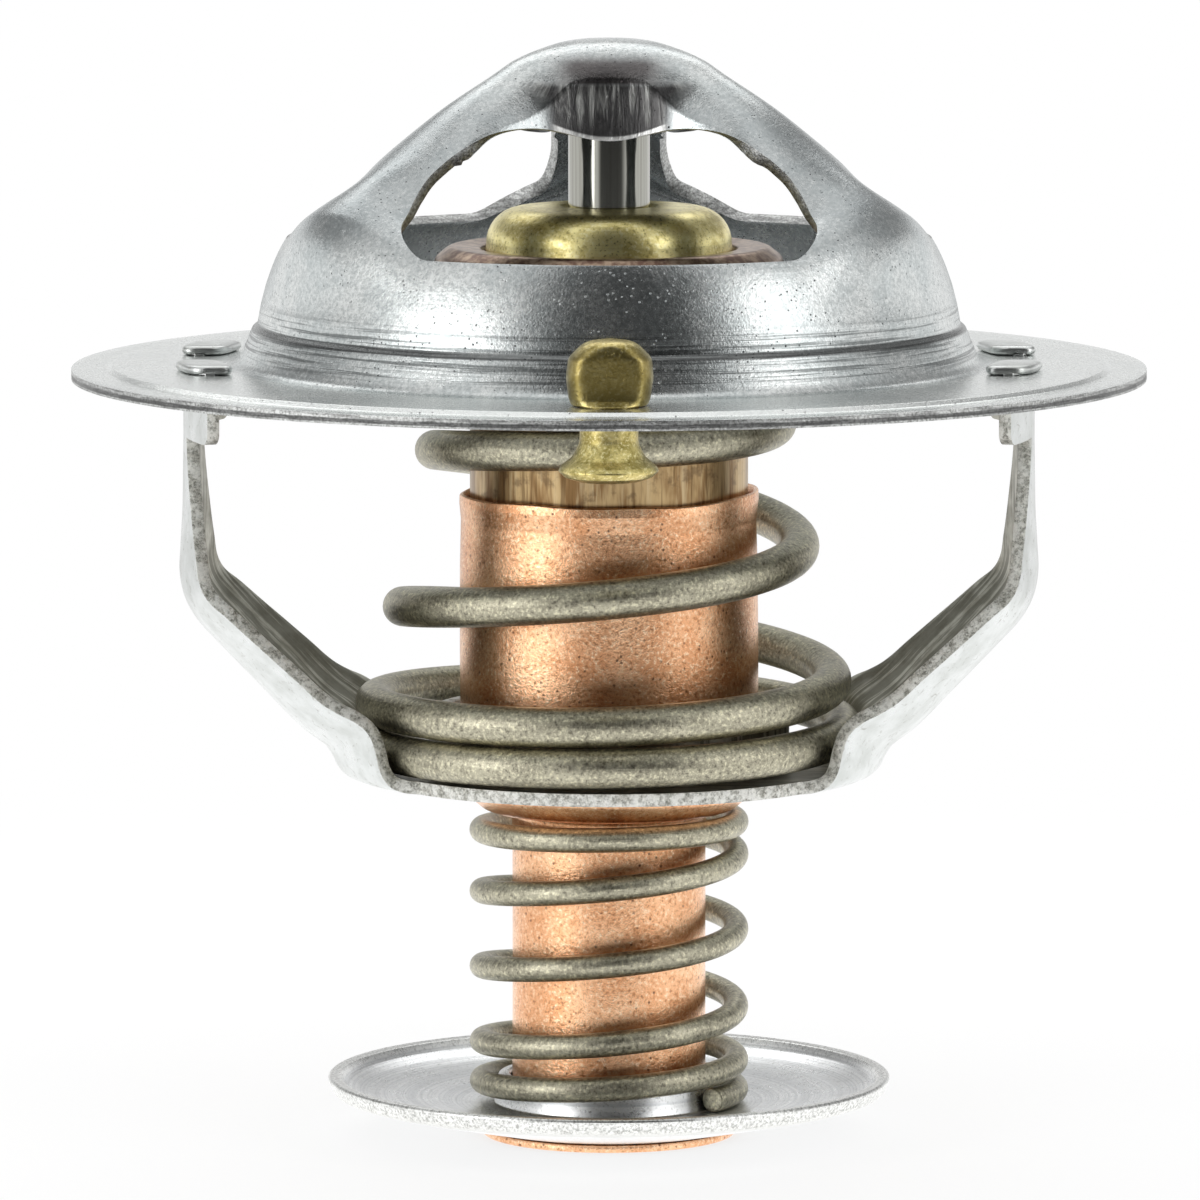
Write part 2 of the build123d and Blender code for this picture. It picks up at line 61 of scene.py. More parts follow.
# sizes that several pieces share, from the frame where it has them
FLANGE_R, CROWN_Z = cad("bridge_flange", 1, 0), cad("bridge_flange", 1, 2)
SHEET_T, RIM_T = 0.70, 0.50           # the bridge's sheet, and its thinner rim
PIN_Y = -21.9
ROD_R, ROD_TOP, ROD_END = cad("push_rod", 1, 0), cad("push_rod", 1, 2), cad("push_rod", 0, 2)
BORE_R = 2.10                         # what slides on the rod
CASE_R, CASE_END = 7.0, cad("element_case", 0, 2)
GUIDE_R, GUIDE_Z = cad("guide_cap", 1, 0), cad("guide_cap", 0, 2)
SHOULDER_Z = -21.9                    # the step from the copper cup to its tail
TAIL_R, TAIL_END = 4.88, cad("copper_cup", 0, 2)
FOOT_Z, PLUG_TOP = cad("foot_cap", 0, 2), cad("foot_cap", 1, 2)
STRIP_T = 0.65
PLATE_Z = cad("lower_frame", 0, 2) + STRIP_T / 2


# ---------------------------------------------------------------- surfaces

def eased(x, table):
    """Smooth curve through (x, y) pairs: cubic pieces whose slopes are the mean of the chords beside them."""
    knots, values = np.array(table, float).T
    chord = np.diff(values) / np.diff(knots)
    slope = np.concatenate([chord[:1], (chord[:-1] + chord[1:]) / 2, chord[-1:]])
    x = np.clip(np.asarray(x, float), knots[0], knots[-1])
    i = np.clip(np.searchsorted(knots, x, side="right") - 1, 0, len(knots) - 2)
    w = knots[i + 1] - knots[i]
    t = (x - knots[i]) / w
    a, b = values[i], values[i + 1]
    p, q = slope[i] * w, slope[i + 1] * w
    return a + t * (p + t * (3 * (b - a) - 2 * p - q + t * (2 * (a - b) + p + q)))


def ramp(x, low, high):
    """0 below low, 1 above high, and 3t^2 - 2t^3 between."""
    t = np.clip((np.asarray(x, float) - low) / (high - low), 0, 1)
    return t * t * (3 - 2 * t)


def rounded(corners, steps=6, closed=True):
    """Outline through (x, y[, r]) corners: one with r becomes an arc of radius r that touches both sides."""
    points = []
    count = len(corners)
    for k, corner in enumerate(corners):
        here = np.array(corner[:2], float)
        if len(corner) < 3 or (not closed and k in (0, count - 1)):
            points.append(here[None])
            continue
        before = np.array(corners[k - 1][:2]) - here
        after = np.array(corners[(k + 1) % count][:2]) - here
        a, b = np.hypot(*before), np.hypot(*after)
        before, after = before / a, after / b
        half = np.arccos(np.clip(before @ after, -1, 1)) / 2
        reach = min(corner[2] / np.tan(half), a * 0.49, b * 0.49)
        middle = (before + after) / np.hypot(*(before + after))
        centre = here + middle * reach / np.cos(half)
        start, end = here + before * reach - centre, here + after * reach - centre
        turn = np.pi - 2 * half
        t = np.linspace(0, 1, steps)[:, None]
        points.append(centre + (start * np.sin((1 - t) * turn) + end * np.sin(t * turn)) / np.sin(turn))
    return np.concatenate(points)


def grid(points, wrap_rows=False, wrap_columns=False):
    """Corner numbers of the quads of a (rows, columns, 3) net, whose ends may be joined."""
    rows, columns = points.shape[:2]
    number = np.arange(rows * columns).reshape(rows, columns)
    if wrap_rows:
        number = np.concatenate([number, number[:1]])
    if wrap_columns:
        number = np.concatenate([number, number[:, :1]], axis=1)
    quads = np.stack([number[:-1, :-1], number[:-1, 1:], number[1:, 1:], number[1:, :-1]], axis=-1)
    return points.reshape(-1, 3), quads.reshape(-1, 4)


def one_sided(points, side):
    """Grid of a net built for the right side or its mirror image, facing the same way on both."""
    points, quads = grid(points)
    return points, quads if side > 0 else quads[:, ::-1]


def joined(parts):
    """Several (points, quads) nets as one."""
    starts = np.cumsum([0] + [len(p) for p, _ in parts])
    return (np.concatenate([p for p, _ in parts]),
            np.concatenate([q + s for (_, q), s in zip(parts, starts)]))


def welded(points, quads):
    """Points in one cell of a 0.004 mm lattice become one.

    A quad that loses a corner becomes a triangle, and one that loses two goes.
    """
    cell, shift = 0.004, 0.31
    key = np.floor(points / cell + shift).astype(np.int64)
    _, first, back = np.unique(key, axis=0, return_index=True, return_inverse=True)
    quads = back.reshape(-1)[quads]
    twin = quads == np.roll(quads, -1, axis=1)
    whole = quads[twin.sum(axis=1) == 0]
    three = twin.sum(axis=1) == 1
    tris = quads[three][~twin[three]].reshape(-1, 3)
    return points[first], whole, tris


def volume(points, quads, tris):
    """Six times the signed volume of a closed net, above 0 where its faces point outwards."""
    a, b, c, d = (points[quads[:, k]] for k in range(4))
    size = np.einsum("ij,ij->", a, np.cross(b, c)) + np.einsum("ij,ij->", a, np.cross(c, d))
    e, f, g = (points[tris[:, k]] for k in range(3))
    return size + np.einsum("ij,ij->", e, np.cross(f, g))


def piece(name, net, node, body, looks, outward=None, sharp=32):
    """One object of the part from a net in millimetres.

    A closed net is turned to face outwards by its signed volume. A sheet, which has none, says
    with outward whether its faces already point the right way (1) or are turned round (-1).
    """
    points, quads, tris = welded(*net)
    if (outward or volume(points, quads, tris)) < 0:
        quads, tris = quads[:, ::-1], tris[:, ::-1]
    sizes = np.concatenate([np.full(len(quads), 4), np.full(len(tris), 3)])
    corners = np.concatenate([quads.reshape(-1), tris.reshape(-1)]).astype(np.int32)
    mesh = bpy.data.meshes.new(name)
    mesh.vertices.add(len(points))
    mesh.vertices.foreach_set("co", (points * MM).astype(np.float32).reshape(-1))
    mesh.loops.add(len(corners))
    mesh.loops.foreach_set("vertex_index", corners)
    mesh.polygons.add(len(sizes))
    mesh.polygons.foreach_set("loop_start", (np.cumsum(sizes) - sizes).astype(np.int32))
    mesh.polygons.foreach_set("use_smooth", np.ones(len(sizes), bool))
    mesh.update(calc_edges=True)
    mesh.validate()
    mesh.set_sharp_from_angle(angle=np.radians(sharp))
    for look in looks if isinstance(looks, list) else [looks]:
        mesh.materials.append(look)
    made = bpy.data.objects.new(name, mesh)
    bpy.context.scene.collection.objects.link(made)
    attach(made, body)
    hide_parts(node)
    return made


def thicken(made, thickness, bevel, offset=-1.0, rim=0, outer=0, shares=None):
    """Gives a sheet its thickness and eases its cut edges.

    The cut edges take the look numbered rim, and the new face the one numbered outer. shares
    gives each point its share of the thickness.
    """
    solid = made.modifiers.new("thickness", "SOLIDIFY")
    solid.thickness = thickness * MM
    solid.offset = offset
    solid.use_even_offset = False
    solid.material_offset_rim = rim
    solid.material_offset = outer
    if shares is not None:
        group = made.vertex_groups.new(name="thickness")
        co = np.zeros(len(made.data.vertices) * 3, np.float32)
        made.data.vertices.foreach_get("co", co)
        share = np.round(shares(co.reshape(-1, 3) / MM), 3)
        for value in np.unique(share):
            group.add(np.flatnonzero(share == value).tolist(), float(value), "REPLACE")
        solid.vertex_group = group.name
    edge = made.modifiers.new("eased edges", "BEVEL")
    edge.width = bevel * MM
    edge.segments = 2
    edge.limit_method = "ANGLE"
    edge.angle_limit = np.radians(50)
    edge.harden_normals = False


def turned(corners, segments=160, steps=6, sway=None):
    """Net of a closed (r, z) outline turned about Z: (r cos a, r sin a, z), which sway may then shift."""
    section = rounded(corners, steps)
    angles = np.arange(segments) * 2 * np.pi / segments
    r, z = section[:, 0][:, None], section[:, 1][:, None]
    points = np.stack([r * np.cos(angles), r * np.sin(angles), z + 0 * angles], axis=-1)
    if sway is not None:
        points = sway(points, angles[None, :])
    return grid(points, wrap_rows=True, wrap_columns=True)


# ---------------------------------------------------------------- looks

class Shading:
    """A node tree, every node of which is made by one method."""

    def __init__(self, tree):
        self.tree = tree

    def feed(self, value, place):
        """Links a value to a socket, or writes a number or a colour into it."""
        if isinstance(value, Number):
            value = value.socket
        if isinstance(value, bpy.types.NodeSocket):
            self.tree.links.new(value, place)
        elif place.type == "RGBA":
            place.default_value = (*value, 1)
        else:
            place.default_value = value

    def node(self, kind, settings=None, terms=(), **sockets):
        """One node: its settings, then its sockets, as (number, value) terms or by name."""
        made = self.tree.nodes.new(kind)
        for key, value in (settings or {}).items():
            setattr(made, key, value)
        for number, value in terms:
            self.feed(value, made.inputs[number])
        for key, value in sockets.items():
            self.feed(value, made.inputs[key.replace("_", " ")])
        return made

    def found(self, kind):
        """The node of a kind that a new tree already has."""
        return next(n for n in self.tree.nodes if n.type == kind)

    def parts(self, socket):
        """The three values of a place."""
        outputs = self.node("ShaderNodeSeparateXYZ", Vector=socket).outputs
        return [Number(self, output) for output in outputs]


class Number:
    """A value in a material, for plain arithmetic with other values and numbers."""

    def __init__(self, shading, socket):
        self.shading, self.socket = shading, socket

    def math(self, kind, *terms):
        """A Math node on these terms."""
        node = self.shading.node("ShaderNodeMath", {"operation": kind}, enumerate(terms))
        return Number(self.shading, node.outputs[0])

    def __add__(self, other):
        return self.math("ADD", self, other)

    __radd__ = __add__

    def __mul__(self, other):
        return self.math("MULTIPLY", self, other)

    __rmul__ = __mul__

    def __sub__(self, other):
        return self.math("SUBTRACT", self, other)

    def __rsub__(self, other):
        return self.math("SUBTRACT", other, self)

    def __truediv__(self, other):
        return self.math("DIVIDE", self, other)

    def __pow__(self, other):
        return self.math("POWER", self, other)

    def __abs__(self):
        return self.math("ABSOLUTE", self)

    def rise(self, low, high):
        """0 below low, 1 above high, smooth between. With low above high it falls instead."""
        node = self.shading.node("ShaderNodeMapRange", {"interpolation_type": "SMOOTHSTEP"},
                                 Value=self, From_Min=low, From_Max=high)
        return Number(self.shading, node.outputs["Result"])


class Look(Shading):
    """A material of one principled shader, its patterns measured in millimetres on the object."""

    def __init__(self, name, colour, metallic=1.0, roughness=0.3, **constants):
        self.material = bpy.data.materials.new(name)
        self.material.use_nodes = True
        super().__init__(self.material.node_tree)
        self.shader = self.found("BSDF_PRINCIPLED")
        constants = {"Base Color": colour, "Metallic": metallic, "Roughness": roughness, **constants}
        for key, value in constants.items():
            self.feed(value, self.shader.inputs[key.replace("_", " ")])
        where = self.node("ShaderNodeTexCoord").outputs["Object"]
        scaled = self.node("ShaderNodeVectorMath", {"operation": "SCALE"}, [(0, where)], Scale=1 / MM)
        self.mm = scaled.outputs[0]
        self.x, self.y, self.z = self.parts(self.mm)
        self.r = (self.x * self.x + self.y * self.y) ** 0.5

    def point(self, x, y, z):
        """A place made of three values."""
        return self.node("ShaderNodeCombineXYZ", X=x, Y=y, Z=z).outputs[0]

    def angle(self):
        """The unit vector away from the Z axis, as two values."""
        safe = self.r + 0.001
        return self.x / safe, self.y / safe

    def noise(self, size, detail=3.0, rough=0.55, where=None, warp=0.0):
        """Cloudy pattern of about that many millimetres, 0 to 1."""
        made = self.node("ShaderNodeTexNoise", {"noise_dimensions": "3D"}, Vector=where or self.mm,
                         Scale=1 / size, Detail=detail, Roughness=rough, Distortion=warp)
        return Number(self, made.outputs["Fac"])

    def cells(self, size):
        """Distance to scattered points about that many millimetres apart."""
        made = self.node("ShaderNodeTexVoronoi", {"feature": "F1"}, Vector=self.mm, Scale=1 / size)
        return Number(self, made.outputs["Distance"])

    def around(self, size_round, size_out, size_up, detail=4.0):
        """Streaks round the Z axis: noise of (cos a, sin a) / size_round, r / size_out and z / size_up."""
        c, s = self.angle()
        where = self.point(c / size_round + self.r / size_out, s / size_round, self.z / size_up)
        return self.noise(1.0, detail, 0.6, where)

    def upright(self, often, slow, detail=4.0, rough=0.7, warp=0.0):
        """Streaks along the Z axis: noise of (cos a, sin a) often and z slow."""
        c, s = self.angle()
        where = self.point(c * often, s * often, self.z * slow)
        return self.noise(1.0, detail, rough, where, warp)

    def blend(self, share, first, second):
        """Colour between two, by a share of 0 to 1."""
        made = self.node("ShaderNodeMix", {"data_type": "RGBA"}, [(0, share), (6, first), (7, second)])
        return made.outputs[2]

    def bump(self, height, depth, after=None):
        """Relief of that many millimetres for a height of 0 to 1, over an earlier one."""
        below = {} if after is None else {"Normal": after}
        made = self.node("ShaderNodeBump", Height=height, Strength=1.0, Distance=depth * MM, **below)
        return made.outputs[0]

    def finish(self, colour, roughness, normal):
        """Gives the shader what changes over the surface, and returns the material."""
        for key, value in (("Base Color", colour), ("Roughness", roughness), ("Normal", normal)):
            self.feed(value, self.shader.inputs[key])
        return self.material


def pressed_steel():
    """Cool grey pressed sheet: soft mottle and dark pits, with painted shade darkening the legs and a painted
    highlight paling the flange.
    """
    look = Look("pressed_steel", (0.70, 0.73, 0.73), roughness=0.2)
    haze = look.noise(2.6, 4, 0.6)
    mottle = look.noise(0.22, 4, 0.75)
    grain = look.noise(0.11, 2, 0.6)
    pits = look.cells(0.3).rise(0.2, 0.06) * look.noise(1.7, 3).rise(0.42, 0.60)
    lines = look.around(0.9, 0.16, 0.16, 3)
    legs = look.z.rise(6.2, 9.0) * look.z.rise(15.2, 13.2)
    flange = look.r.rise(18.9, 19.8)
    colour = look.blend(haze.rise(0.3, 0.7), (0.62, 0.66, 0.66), (0.78, 0.80, 0.79))
    colour = look.blend(mottle.rise(0.62, 0.34) * 0.55, colour, (0.32, 0.35, 0.35))
    # painted shade: the legs and shoulders of the dome, between heights 6.2 and 15.2, darkened
    colour = look.blend(legs * 0.5, colour, (0.32, 0.35, 0.36))
    # painted highlight: the flat of the flange paled towards white
    colour = look.blend(flange * 0.6, colour, (0.96, 0.98, 0.96))
    colour = look.blend(mottle.rise(0.55, 0.72) * 0.4, colour, (0.95, 0.97, 0.95))
    colour, drawn = skirt_foot(look, colour)
    colour = look.blend(pits * 0.85, colour, (0.06, 0.06, 0.07))
    # the hub's scraped strokes, with its painted dark reflections and painted highlight
    colour, wall, scrape = hub_scrapes_and_painted_light(look, colour)
    rough = 0.15 + haze * 0.08 + mottle * 0.14 + pits * 0.3 + wall * 0.12
    fine = look.bump(grain * 0.6 + mottle + lines * 0.5 + drawn * 2, 0.010)
    scratched = look.bump(scrape * wall, 0.08, after=fine)
    return look.finish(colour, rough, look.bump(1 - pits, 0.03, after=scratched))


def skirt_foot(look, colour):
    """Dark lines drawn round the skirt's foot, and a painted shadow in the crease above them; also gives the
    lines as relief.
    """
    drawn = look.upright(1.6, 1 / 0.17, 3)
    foot = look.z.rise(0.9, 1.5) * look.z.rise(4.2, 3.2) * look.r.rise(16.8, 17.3)
    colour = look.blend(drawn.rise(0.52, 0.40) * foot * 0.75, colour, (0.10, 0.11, 0.11))
    # painted shadow: a dark line along the crease of the drawn step
    crease = look.z.rise(2.36, 2.50) * look.z.rise(2.84, 2.66)
    crease = crease * look.r.rise(17.3, 17.5) * look.r.rise(18.3, 18.0)
    return look.blend(crease * 0.7, colour, (0.05, 0.05, 0.05)), drawn * foot


def hub_scrapes_and_painted_light(look, colour):
    """Painted dark reflection on the hub's wall, broken by scraped strokes, a painted highlight along its
    lip, and a painted dark reflection in a hollow between the legs.
    """
    scrape = look.upright(9, 0.22, 4, warp=0.4)
    # painted dark reflection over the hub's wall, with lighter scraped strokes in it
    wall = look.z.rise(11.7, 12.5) * look.z.rise(15.3, 14.8) * look.r.rise(6.4, 5.5)
    strokes = scrape.rise(0.46, 0.66) * look.z.rise(12.6, 13.8)
    colour = look.blend(wall * 0.9, colour, look.blend(strokes, (0.045, 0.04, 0.04), (0.46, 0.46, 0.44)))
    # painted highlight: a near-white line along the hub's lip
    lip = (look.z - look.r * 0.5 - 10.0).rise(0.26, 0.14) * look.r.rise(5.9, 5.4) * look.z.rise(11.9, 12.0)
    colour = look.blend(lip * 0.8, colour, (0.95, 0.95, 0.93))
    # painted dark reflection in the hollow between the legs, near the crown
    s = look.angle()[1]
    between_legs = (s * (3 - s * s * 4)).rise(-0.95, 0.35)
    hollow = look.z.rise(14.9, 15.1) * look.z.rise(16.6, 15.9) * between_legs * look.r.rise(6.2, 4.2)
    return look.blend(hollow * 0.85, colour, (0.06, 0.045, 0.045)), wall, scrape


def cut_edge():
    """Sheared edge of the pressed sheet: grey grit with short dark runs, and a dark line painted round the
    middle of the flange's rim.
    """
    look = Look("cut_edge", (0.55, 0.56, 0.55), roughness=0.34)
    torn = look.noise(0.13, 4, 0.75)
    runs = look.around(0.06, 0.3, 0.14, 3)
    colour = look.blend(torn.rise(0.60, 0.36) * 0.75, (0.66, 0.67, 0.66), (0.13, 0.13, 0.12))
    colour = look.blend(runs.rise(0.55, 0.42) * 0.5, colour, (0.10, 0.10, 0.10))
    # a dark line painted round the middle of the flange's outer edge
    rim_dark_line = look.z.rise(0.08, 0.13) * look.z.rise(0.34, 0.27) * look.r.rise(26.4, 26.6)
    colour = look.blend(rim_dark_line * 0.7, colour, (0.03, 0.03, 0.03))
    return look.finish(colour, 0.26 + torn * 0.25, look.bump(torn, 0.03))


def bright_strip():
    """Near-white plated strip with grey smudges and small scuffs."""
    look = Look("bright_strip", (0.66, 0.68, 0.67), roughness=0.3)
    haze = look.noise(1.7, 4, 0.6)
    grain = look.noise(0.14, 2, 0.6)
    scuffs = look.noise(0.5, 4, 0.7, warp=1.2).rise(0.56, 0.72)
    colour = look.blend(haze.rise(0.35, 0.7), (0.70, 0.72, 0.71), (0.58, 0.60, 0.58))
    colour = look.blend(scuffs * 0.6, colour, (0.34, 0.33, 0.29))
    return look.finish(colour, 0.20 + haze * 0.2 + scuffs * 0.15, look.bump(grain, 0.008))


def dull_strip():
    """Inner face of the strip: olive grey, with dark drawn lines down the arms."""
    look = Look("dull_strip", (0.34, 0.33, 0.28), roughness=0.36)
    haze = look.noise(1.4, 4, 0.65)
    drawn = look.noise(1.0, 4, 0.7, where=look.point(look.y * 1.5, look.r * 0.08, look.z * 0.08), warp=0.3)
    colour = look.blend(haze.rise(0.35, 0.7), (0.46, 0.45, 0.39), (0.28, 0.27, 0.22))
    colour = look.blend(drawn.rise(0.54, 0.44) * 0.7, colour, (0.09, 0.085, 0.06))
    return look.finish(colour, 0.28 + haze * 0.2, look.bump(drawn, 0.03))


def sheared_edge():
    """Torn grey face that the blanking punch leaves: dark grit between bright burnished patches."""
    look = Look("sheared_edge", (0.45, 0.44, 0.40), roughness=0.45)
    torn = look.noise(0.15, 5, 0.78, warp=0.5)
    bright = look.noise(0.5, 4, 0.75).rise(0.40, 0.60)
    colour = look.blend(torn.rise(0.38, 0.62), (0.22, 0.22, 0.19), (0.66, 0.65, 0.60))
    colour = look.blend(bright * 0.75, colour, (0.93, 0.93, 0.89))
    return look.finish(colour, 0.32 + torn * 0.3, look.bump(torn, 0.06))


def polished_rod():
    """Ground rod with hair lines along it."""
    look = Look("polished_rod", (0.56, 0.56, 0.53), roughness=0.1)
    hairs = look.upright(16, 0.1, rough=0.6)
    colour = look.blend(hairs.rise(0.4, 0.65) * 0.5, (0.42, 0.42, 0.38), (0.24, 0.23, 0.20))
    return look.finish(colour, 0.08 + hairs * 0.08, look.bump(hairs, 0.0012))


def drawn_wire():
    """Olive-grey drawn wire, gritty, with paler yellow grains where it was rubbed."""
    look = Look("drawn_wire", (0.40, 0.38, 0.30), roughness=0.36)
    grain = look.noise(0.2, 4, 0.75)
    haze = look.noise(1.3, 3, 0.6)
    along = look.around(0.25, 0.12, 0.12, 3)
    colour = look.blend(haze.rise(0.3, 0.7), (0.33, 0.31, 0.235), (0.45, 0.425, 0.325))
    colour = look.blend(grain.rise(0.50, 0.66) * 0.8, colour, (0.78, 0.74, 0.54))
    colour = look.blend(grain.rise(0.47, 0.34) * 0.8, colour, (0.11, 0.10, 0.075))
    return look.finish(colour, 0.26 + haze * 0.1 + grain * 0.12, look.bump(grain + along * 0.6, 0.022))


def drawn_copper():
    """Bare orange copper with a fine sugar grain, dark specks and brown clouds."""
    look = Look("drawn_copper", (0.80, 0.48, 0.27), roughness=0.38)
    grain = look.noise(0.2, 4, 0.75)
    haze = look.noise(2.6, 4, 0.6)
    specks = look.cells(0.45).rise(0.22, 0.07) * look.noise(1.8, 3).rise(0.40, 0.56)
    colour = look.blend(haze.rise(0.3, 0.7), (0.93, 0.56, 0.33), (0.72, 0.35, 0.17))
    colour = look.blend(grain.rise(0.51, 0.66) * 0.75, colour, (1.0, 0.77, 0.54))
    colour = look.blend(grain.rise(0.47, 0.34) * 0.75, colour, (0.36, 0.15, 0.06))
    colour = look.blend(specks * 0.85, colour, (0.10, 0.04, 0.02))
    return look.finish(colour, 0.15 + grain * 0.18, look.bump(grain, 0.026))


def brushed_brass():
    """Brown brass case with a grain drawn along its height, stained in patches, and darker brown mottled with
    paler brown at its shoulder.
    """
    look = Look("brushed_brass", (0.40, 0.27, 0.13), roughness=0.34)
    fine = look.upright(15, 0.12)
    broad = look.upright(4.5, 0.1, rough=0.65, warp=0.15)
    stain = look.noise(1.0, 4, 0.65).rise(0.52, 0.68)
    colour = look.blend(broad.rise(0.42, 0.58), (0.24, 0.14, 0.06), (0.52, 0.37, 0.19))
    colour = look.blend(fine.rise(0.5, 0.66) * 0.55, colour, (0.70, 0.56, 0.34))
    colour = look.blend(fine.rise(0.47, 0.34) * 0.6, colour, (0.11, 0.06, 0.025))
    colour = look.blend(stain * 0.6, colour, (0.14, 0.09, 0.05))
    # the crimped shoulder: darker brown, mottled with paler brown
    shoulder = look.z.rise(3.9, 4.3)
    shoulder_mottle = look.blend(look.noise(0.6, 4, 0.7).rise(0.38, 0.64), (0.16, 0.095, 0.07), (0.44, 0.33, 0.24))
    colour = look.blend(shoulder, colour, shoulder_mottle)
    return look.finish(colour, 0.24 + broad * 0.14, look.bump(fine * (1 - shoulder), 0.02))


def turned_brass():
    """Olive-gold turned brass, tarnished in soft clouds, with fine tool lines."""
    look = Look("turned_brass", (0.56, 0.48, 0.20), roughness=0.3)
    lines = look.around(2.5, 0.1, 0.1, 3)
    haze = look.noise(1.5, 4, 0.65, warp=0.6)
    grain = look.noise(0.18, 3, 0.65)
    colour = look.blend(haze.rise(0.35, 0.68), (0.98, 0.88, 0.42), (0.60, 0.51, 0.19))
    colour = look.blend(grain.rise(0.52, 0.68) * 0.7, colour, (0.98, 0.92, 0.58))
    colour = look.blend(grain.rise(0.45, 0.33) * 0.6, colour, (0.20, 0.16, 0.05))
    colour = look.blend(lines.rise(0.55, 0.75) * 0.3, colour, (0.26, 0.21, 0.08))
    return look.finish(colour, 0.24 + haze * 0.16, look.bump(lines * 0.6 + grain, 0.01))


def pin_brass():
    """Yellow brass of the jiggle pin, pinched and stained dark on its flats."""
    look = Look("pin_brass", (0.66, 0.54, 0.22), roughness=0.32)
    haze = look.noise(0.9, 4, 0.65, warp=0.4)
    grain = look.noise(0.15, 3, 0.65)
    cracks = look.noise(0.5, 5, 0.75, warp=2.0).rise(0.62, 0.7)
    colour = look.blend(haze.rise(0.35, 0.66), (0.74, 0.62, 0.26), (0.36, 0.29, 0.09))
    colour = look.blend(grain.rise(0.52, 0.68) * 0.65, colour, (0.96, 0.88, 0.52))
    colour = look.blend(grain.rise(0.45, 0.33) * 0.55, colour, (0.16, 0.12, 0.03))
    colour = look.blend(look.z.rise(0.7, 1.2) * look.z.rise(3.9, 3.0) * 0.75, colour, (0.22, 0.17, 0.055))
    colour = look.blend(cracks * 0.6, colour, (0.14, 0.10, 0.04))
    return look.finish(colour, 0.26 + haze * 0.16, look.bump(grain + cracks * -0.8, 0.014))


def turned_steel():
    """Bright turned steel: fine rings from the tool, small specks, a gritty rim, and painted shade on the
    rim's underside.
    """
    look = Look("turned_steel", (0.86, 0.87, 0.87), roughness=0.22)
    rings = look.around(6.0, 0.13, 0.13, 4)
    broad = look.around(9.0, 0.6, 0.6, 2)
    haze = look.noise(1.8, 4, 0.6)
    grain = look.noise(0.16, 4, 0.75)
    colour = look.blend(rings.rise(0.40, 0.66) * 0.6, (0.94, 0.95, 0.95), (0.56, 0.58, 0.60))
    colour = look.blend(haze.rise(0.5, 0.75) * 0.4, colour, (0.62, 0.63, 0.62))
    colour = look.blend(grain.rise(0.48, 0.34) * 0.5, colour, (0.25, 0.25, 0.24))
    # painted shade: the underside of the rim darkened to a dull beige grey
    below = look.z.rise(-35.9, -36.5) * look.r.rise(13.0, 13.6)
    colour = look.blend(below * 0.6, colour, (0.66, 0.65, 0.60))
    rim = look.r.rise(13.3, 13.7) * look.z.rise(-36.4, -36.1)
    gritty = look.blend(grain.rise(0.40, 0.58), (0.34, 0.34, 0.31), (0.90, 0.90, 0.86))
    colour = look.blend(rim * 0.6, colour, gritty)
    rough = 0.16 + haze * 0.12 + rings * 0.08 + grain * 0.06
    return look.finish(colour, rough, look.bump(rings * 0.7 + broad + grain * 0.5, 0.014))


def valve_steel():
    """Grey pressed steel of the valve plate."""
    look = Look("valve_steel", (0.55, 0.56, 0.57), roughness=0.32)
    haze = look.noise(2.0, 4, 0.6)
    rings = look.around(3.0, 0.2, 0.2, 3)
    colour = look.blend(haze.rise(0.35, 0.7), (0.58, 0.59, 0.60), (0.44, 0.45, 0.46))
    return look.finish(colour, 0.26 + haze * 0.14, look.bump(rings, 0.008))


def black_rubber():
    """Dull moulded rubber with a faint bloom."""
    look = Look("black_rubber", (0.03, 0.03, 0.03), metallic=0.0, roughness=0.62)
    bloom = look.noise(1.1, 4, 0.65)
    grain = look.noise(0.2, 3, 0.6)
    colour = look.blend(bloom.rise(0.4, 0.8), (0.022, 0.022, 0.022), (0.07, 0.07, 0.068))
    return look.finish(colour, 0.5 + bloom * 0.25, look.bump(grain, 0.01))


def white_washer():
    """Milky low-friction plastic with faint cutting rings."""
    look = Look("white_washer", (0.86, 0.86, 0.84), metallic=0.0, roughness=0.4, Subsurface_Weight=0.1)
    rings = look.around(5.0, 0.25, 0.25, 3)
    colour = look.blend(rings.rise(0.4, 0.7), (0.88, 0.88, 0.86), (0.80, 0.80, 0.77))
    return look.finish(colour, 0.4, look.bump(rings, 0.006))


def copper_wax():
    """Wax packed with copper flakes."""
    look = Look("copper_wax", (0.6, 0.32, 0.2), metallic=0.2, roughness=0.5)
    flakes = look.cells(0.3)
    colour = look.blend(flakes.rise(0.2, 0.5), (0.72, 0.42, 0.28), (0.48, 0.25, 0.15))
    return look.finish(colour, 0.5, look.bump(flakes, 0.02))


# ---------------------------------------------------------------- bridge and flange

LEG_HALF = 2.95                       # half width of a leg between two windows
APEX_R, CORNER_R = 6.0, 3.0           # a window's round end at the hub, and its outer corners
OPEN_R = 16.2                         # where the windows end and the skirt begins
FOOT_HALF, FOOT_POWER = 7.2, 1.9      # a leg's foot there: half width, and how steeply its arch falls
APEX_ROWS, SIDE_ROWS, CORNER_ROWS = 16, 29, 24
COLUMNS = 36
APEX = np.array([np.cos(np.pi / 3), np.sin(np.pi / 3)]) * (LEG_HALF + APEX_R) / np.sin(np.pi / 3)
# (r, z) along the middle of a leg
RIDGE = [(0, CROWN_Z), (1.4, 16.95), (2.73, 16.8), (5.06, 16.15), (6.22, 15.5), (9.04, 13.85), (11.9, 11.7),
         (14.75, 9.8), (15.6, 9.17), (16.2, 8.6), (17.0, 7.0)]
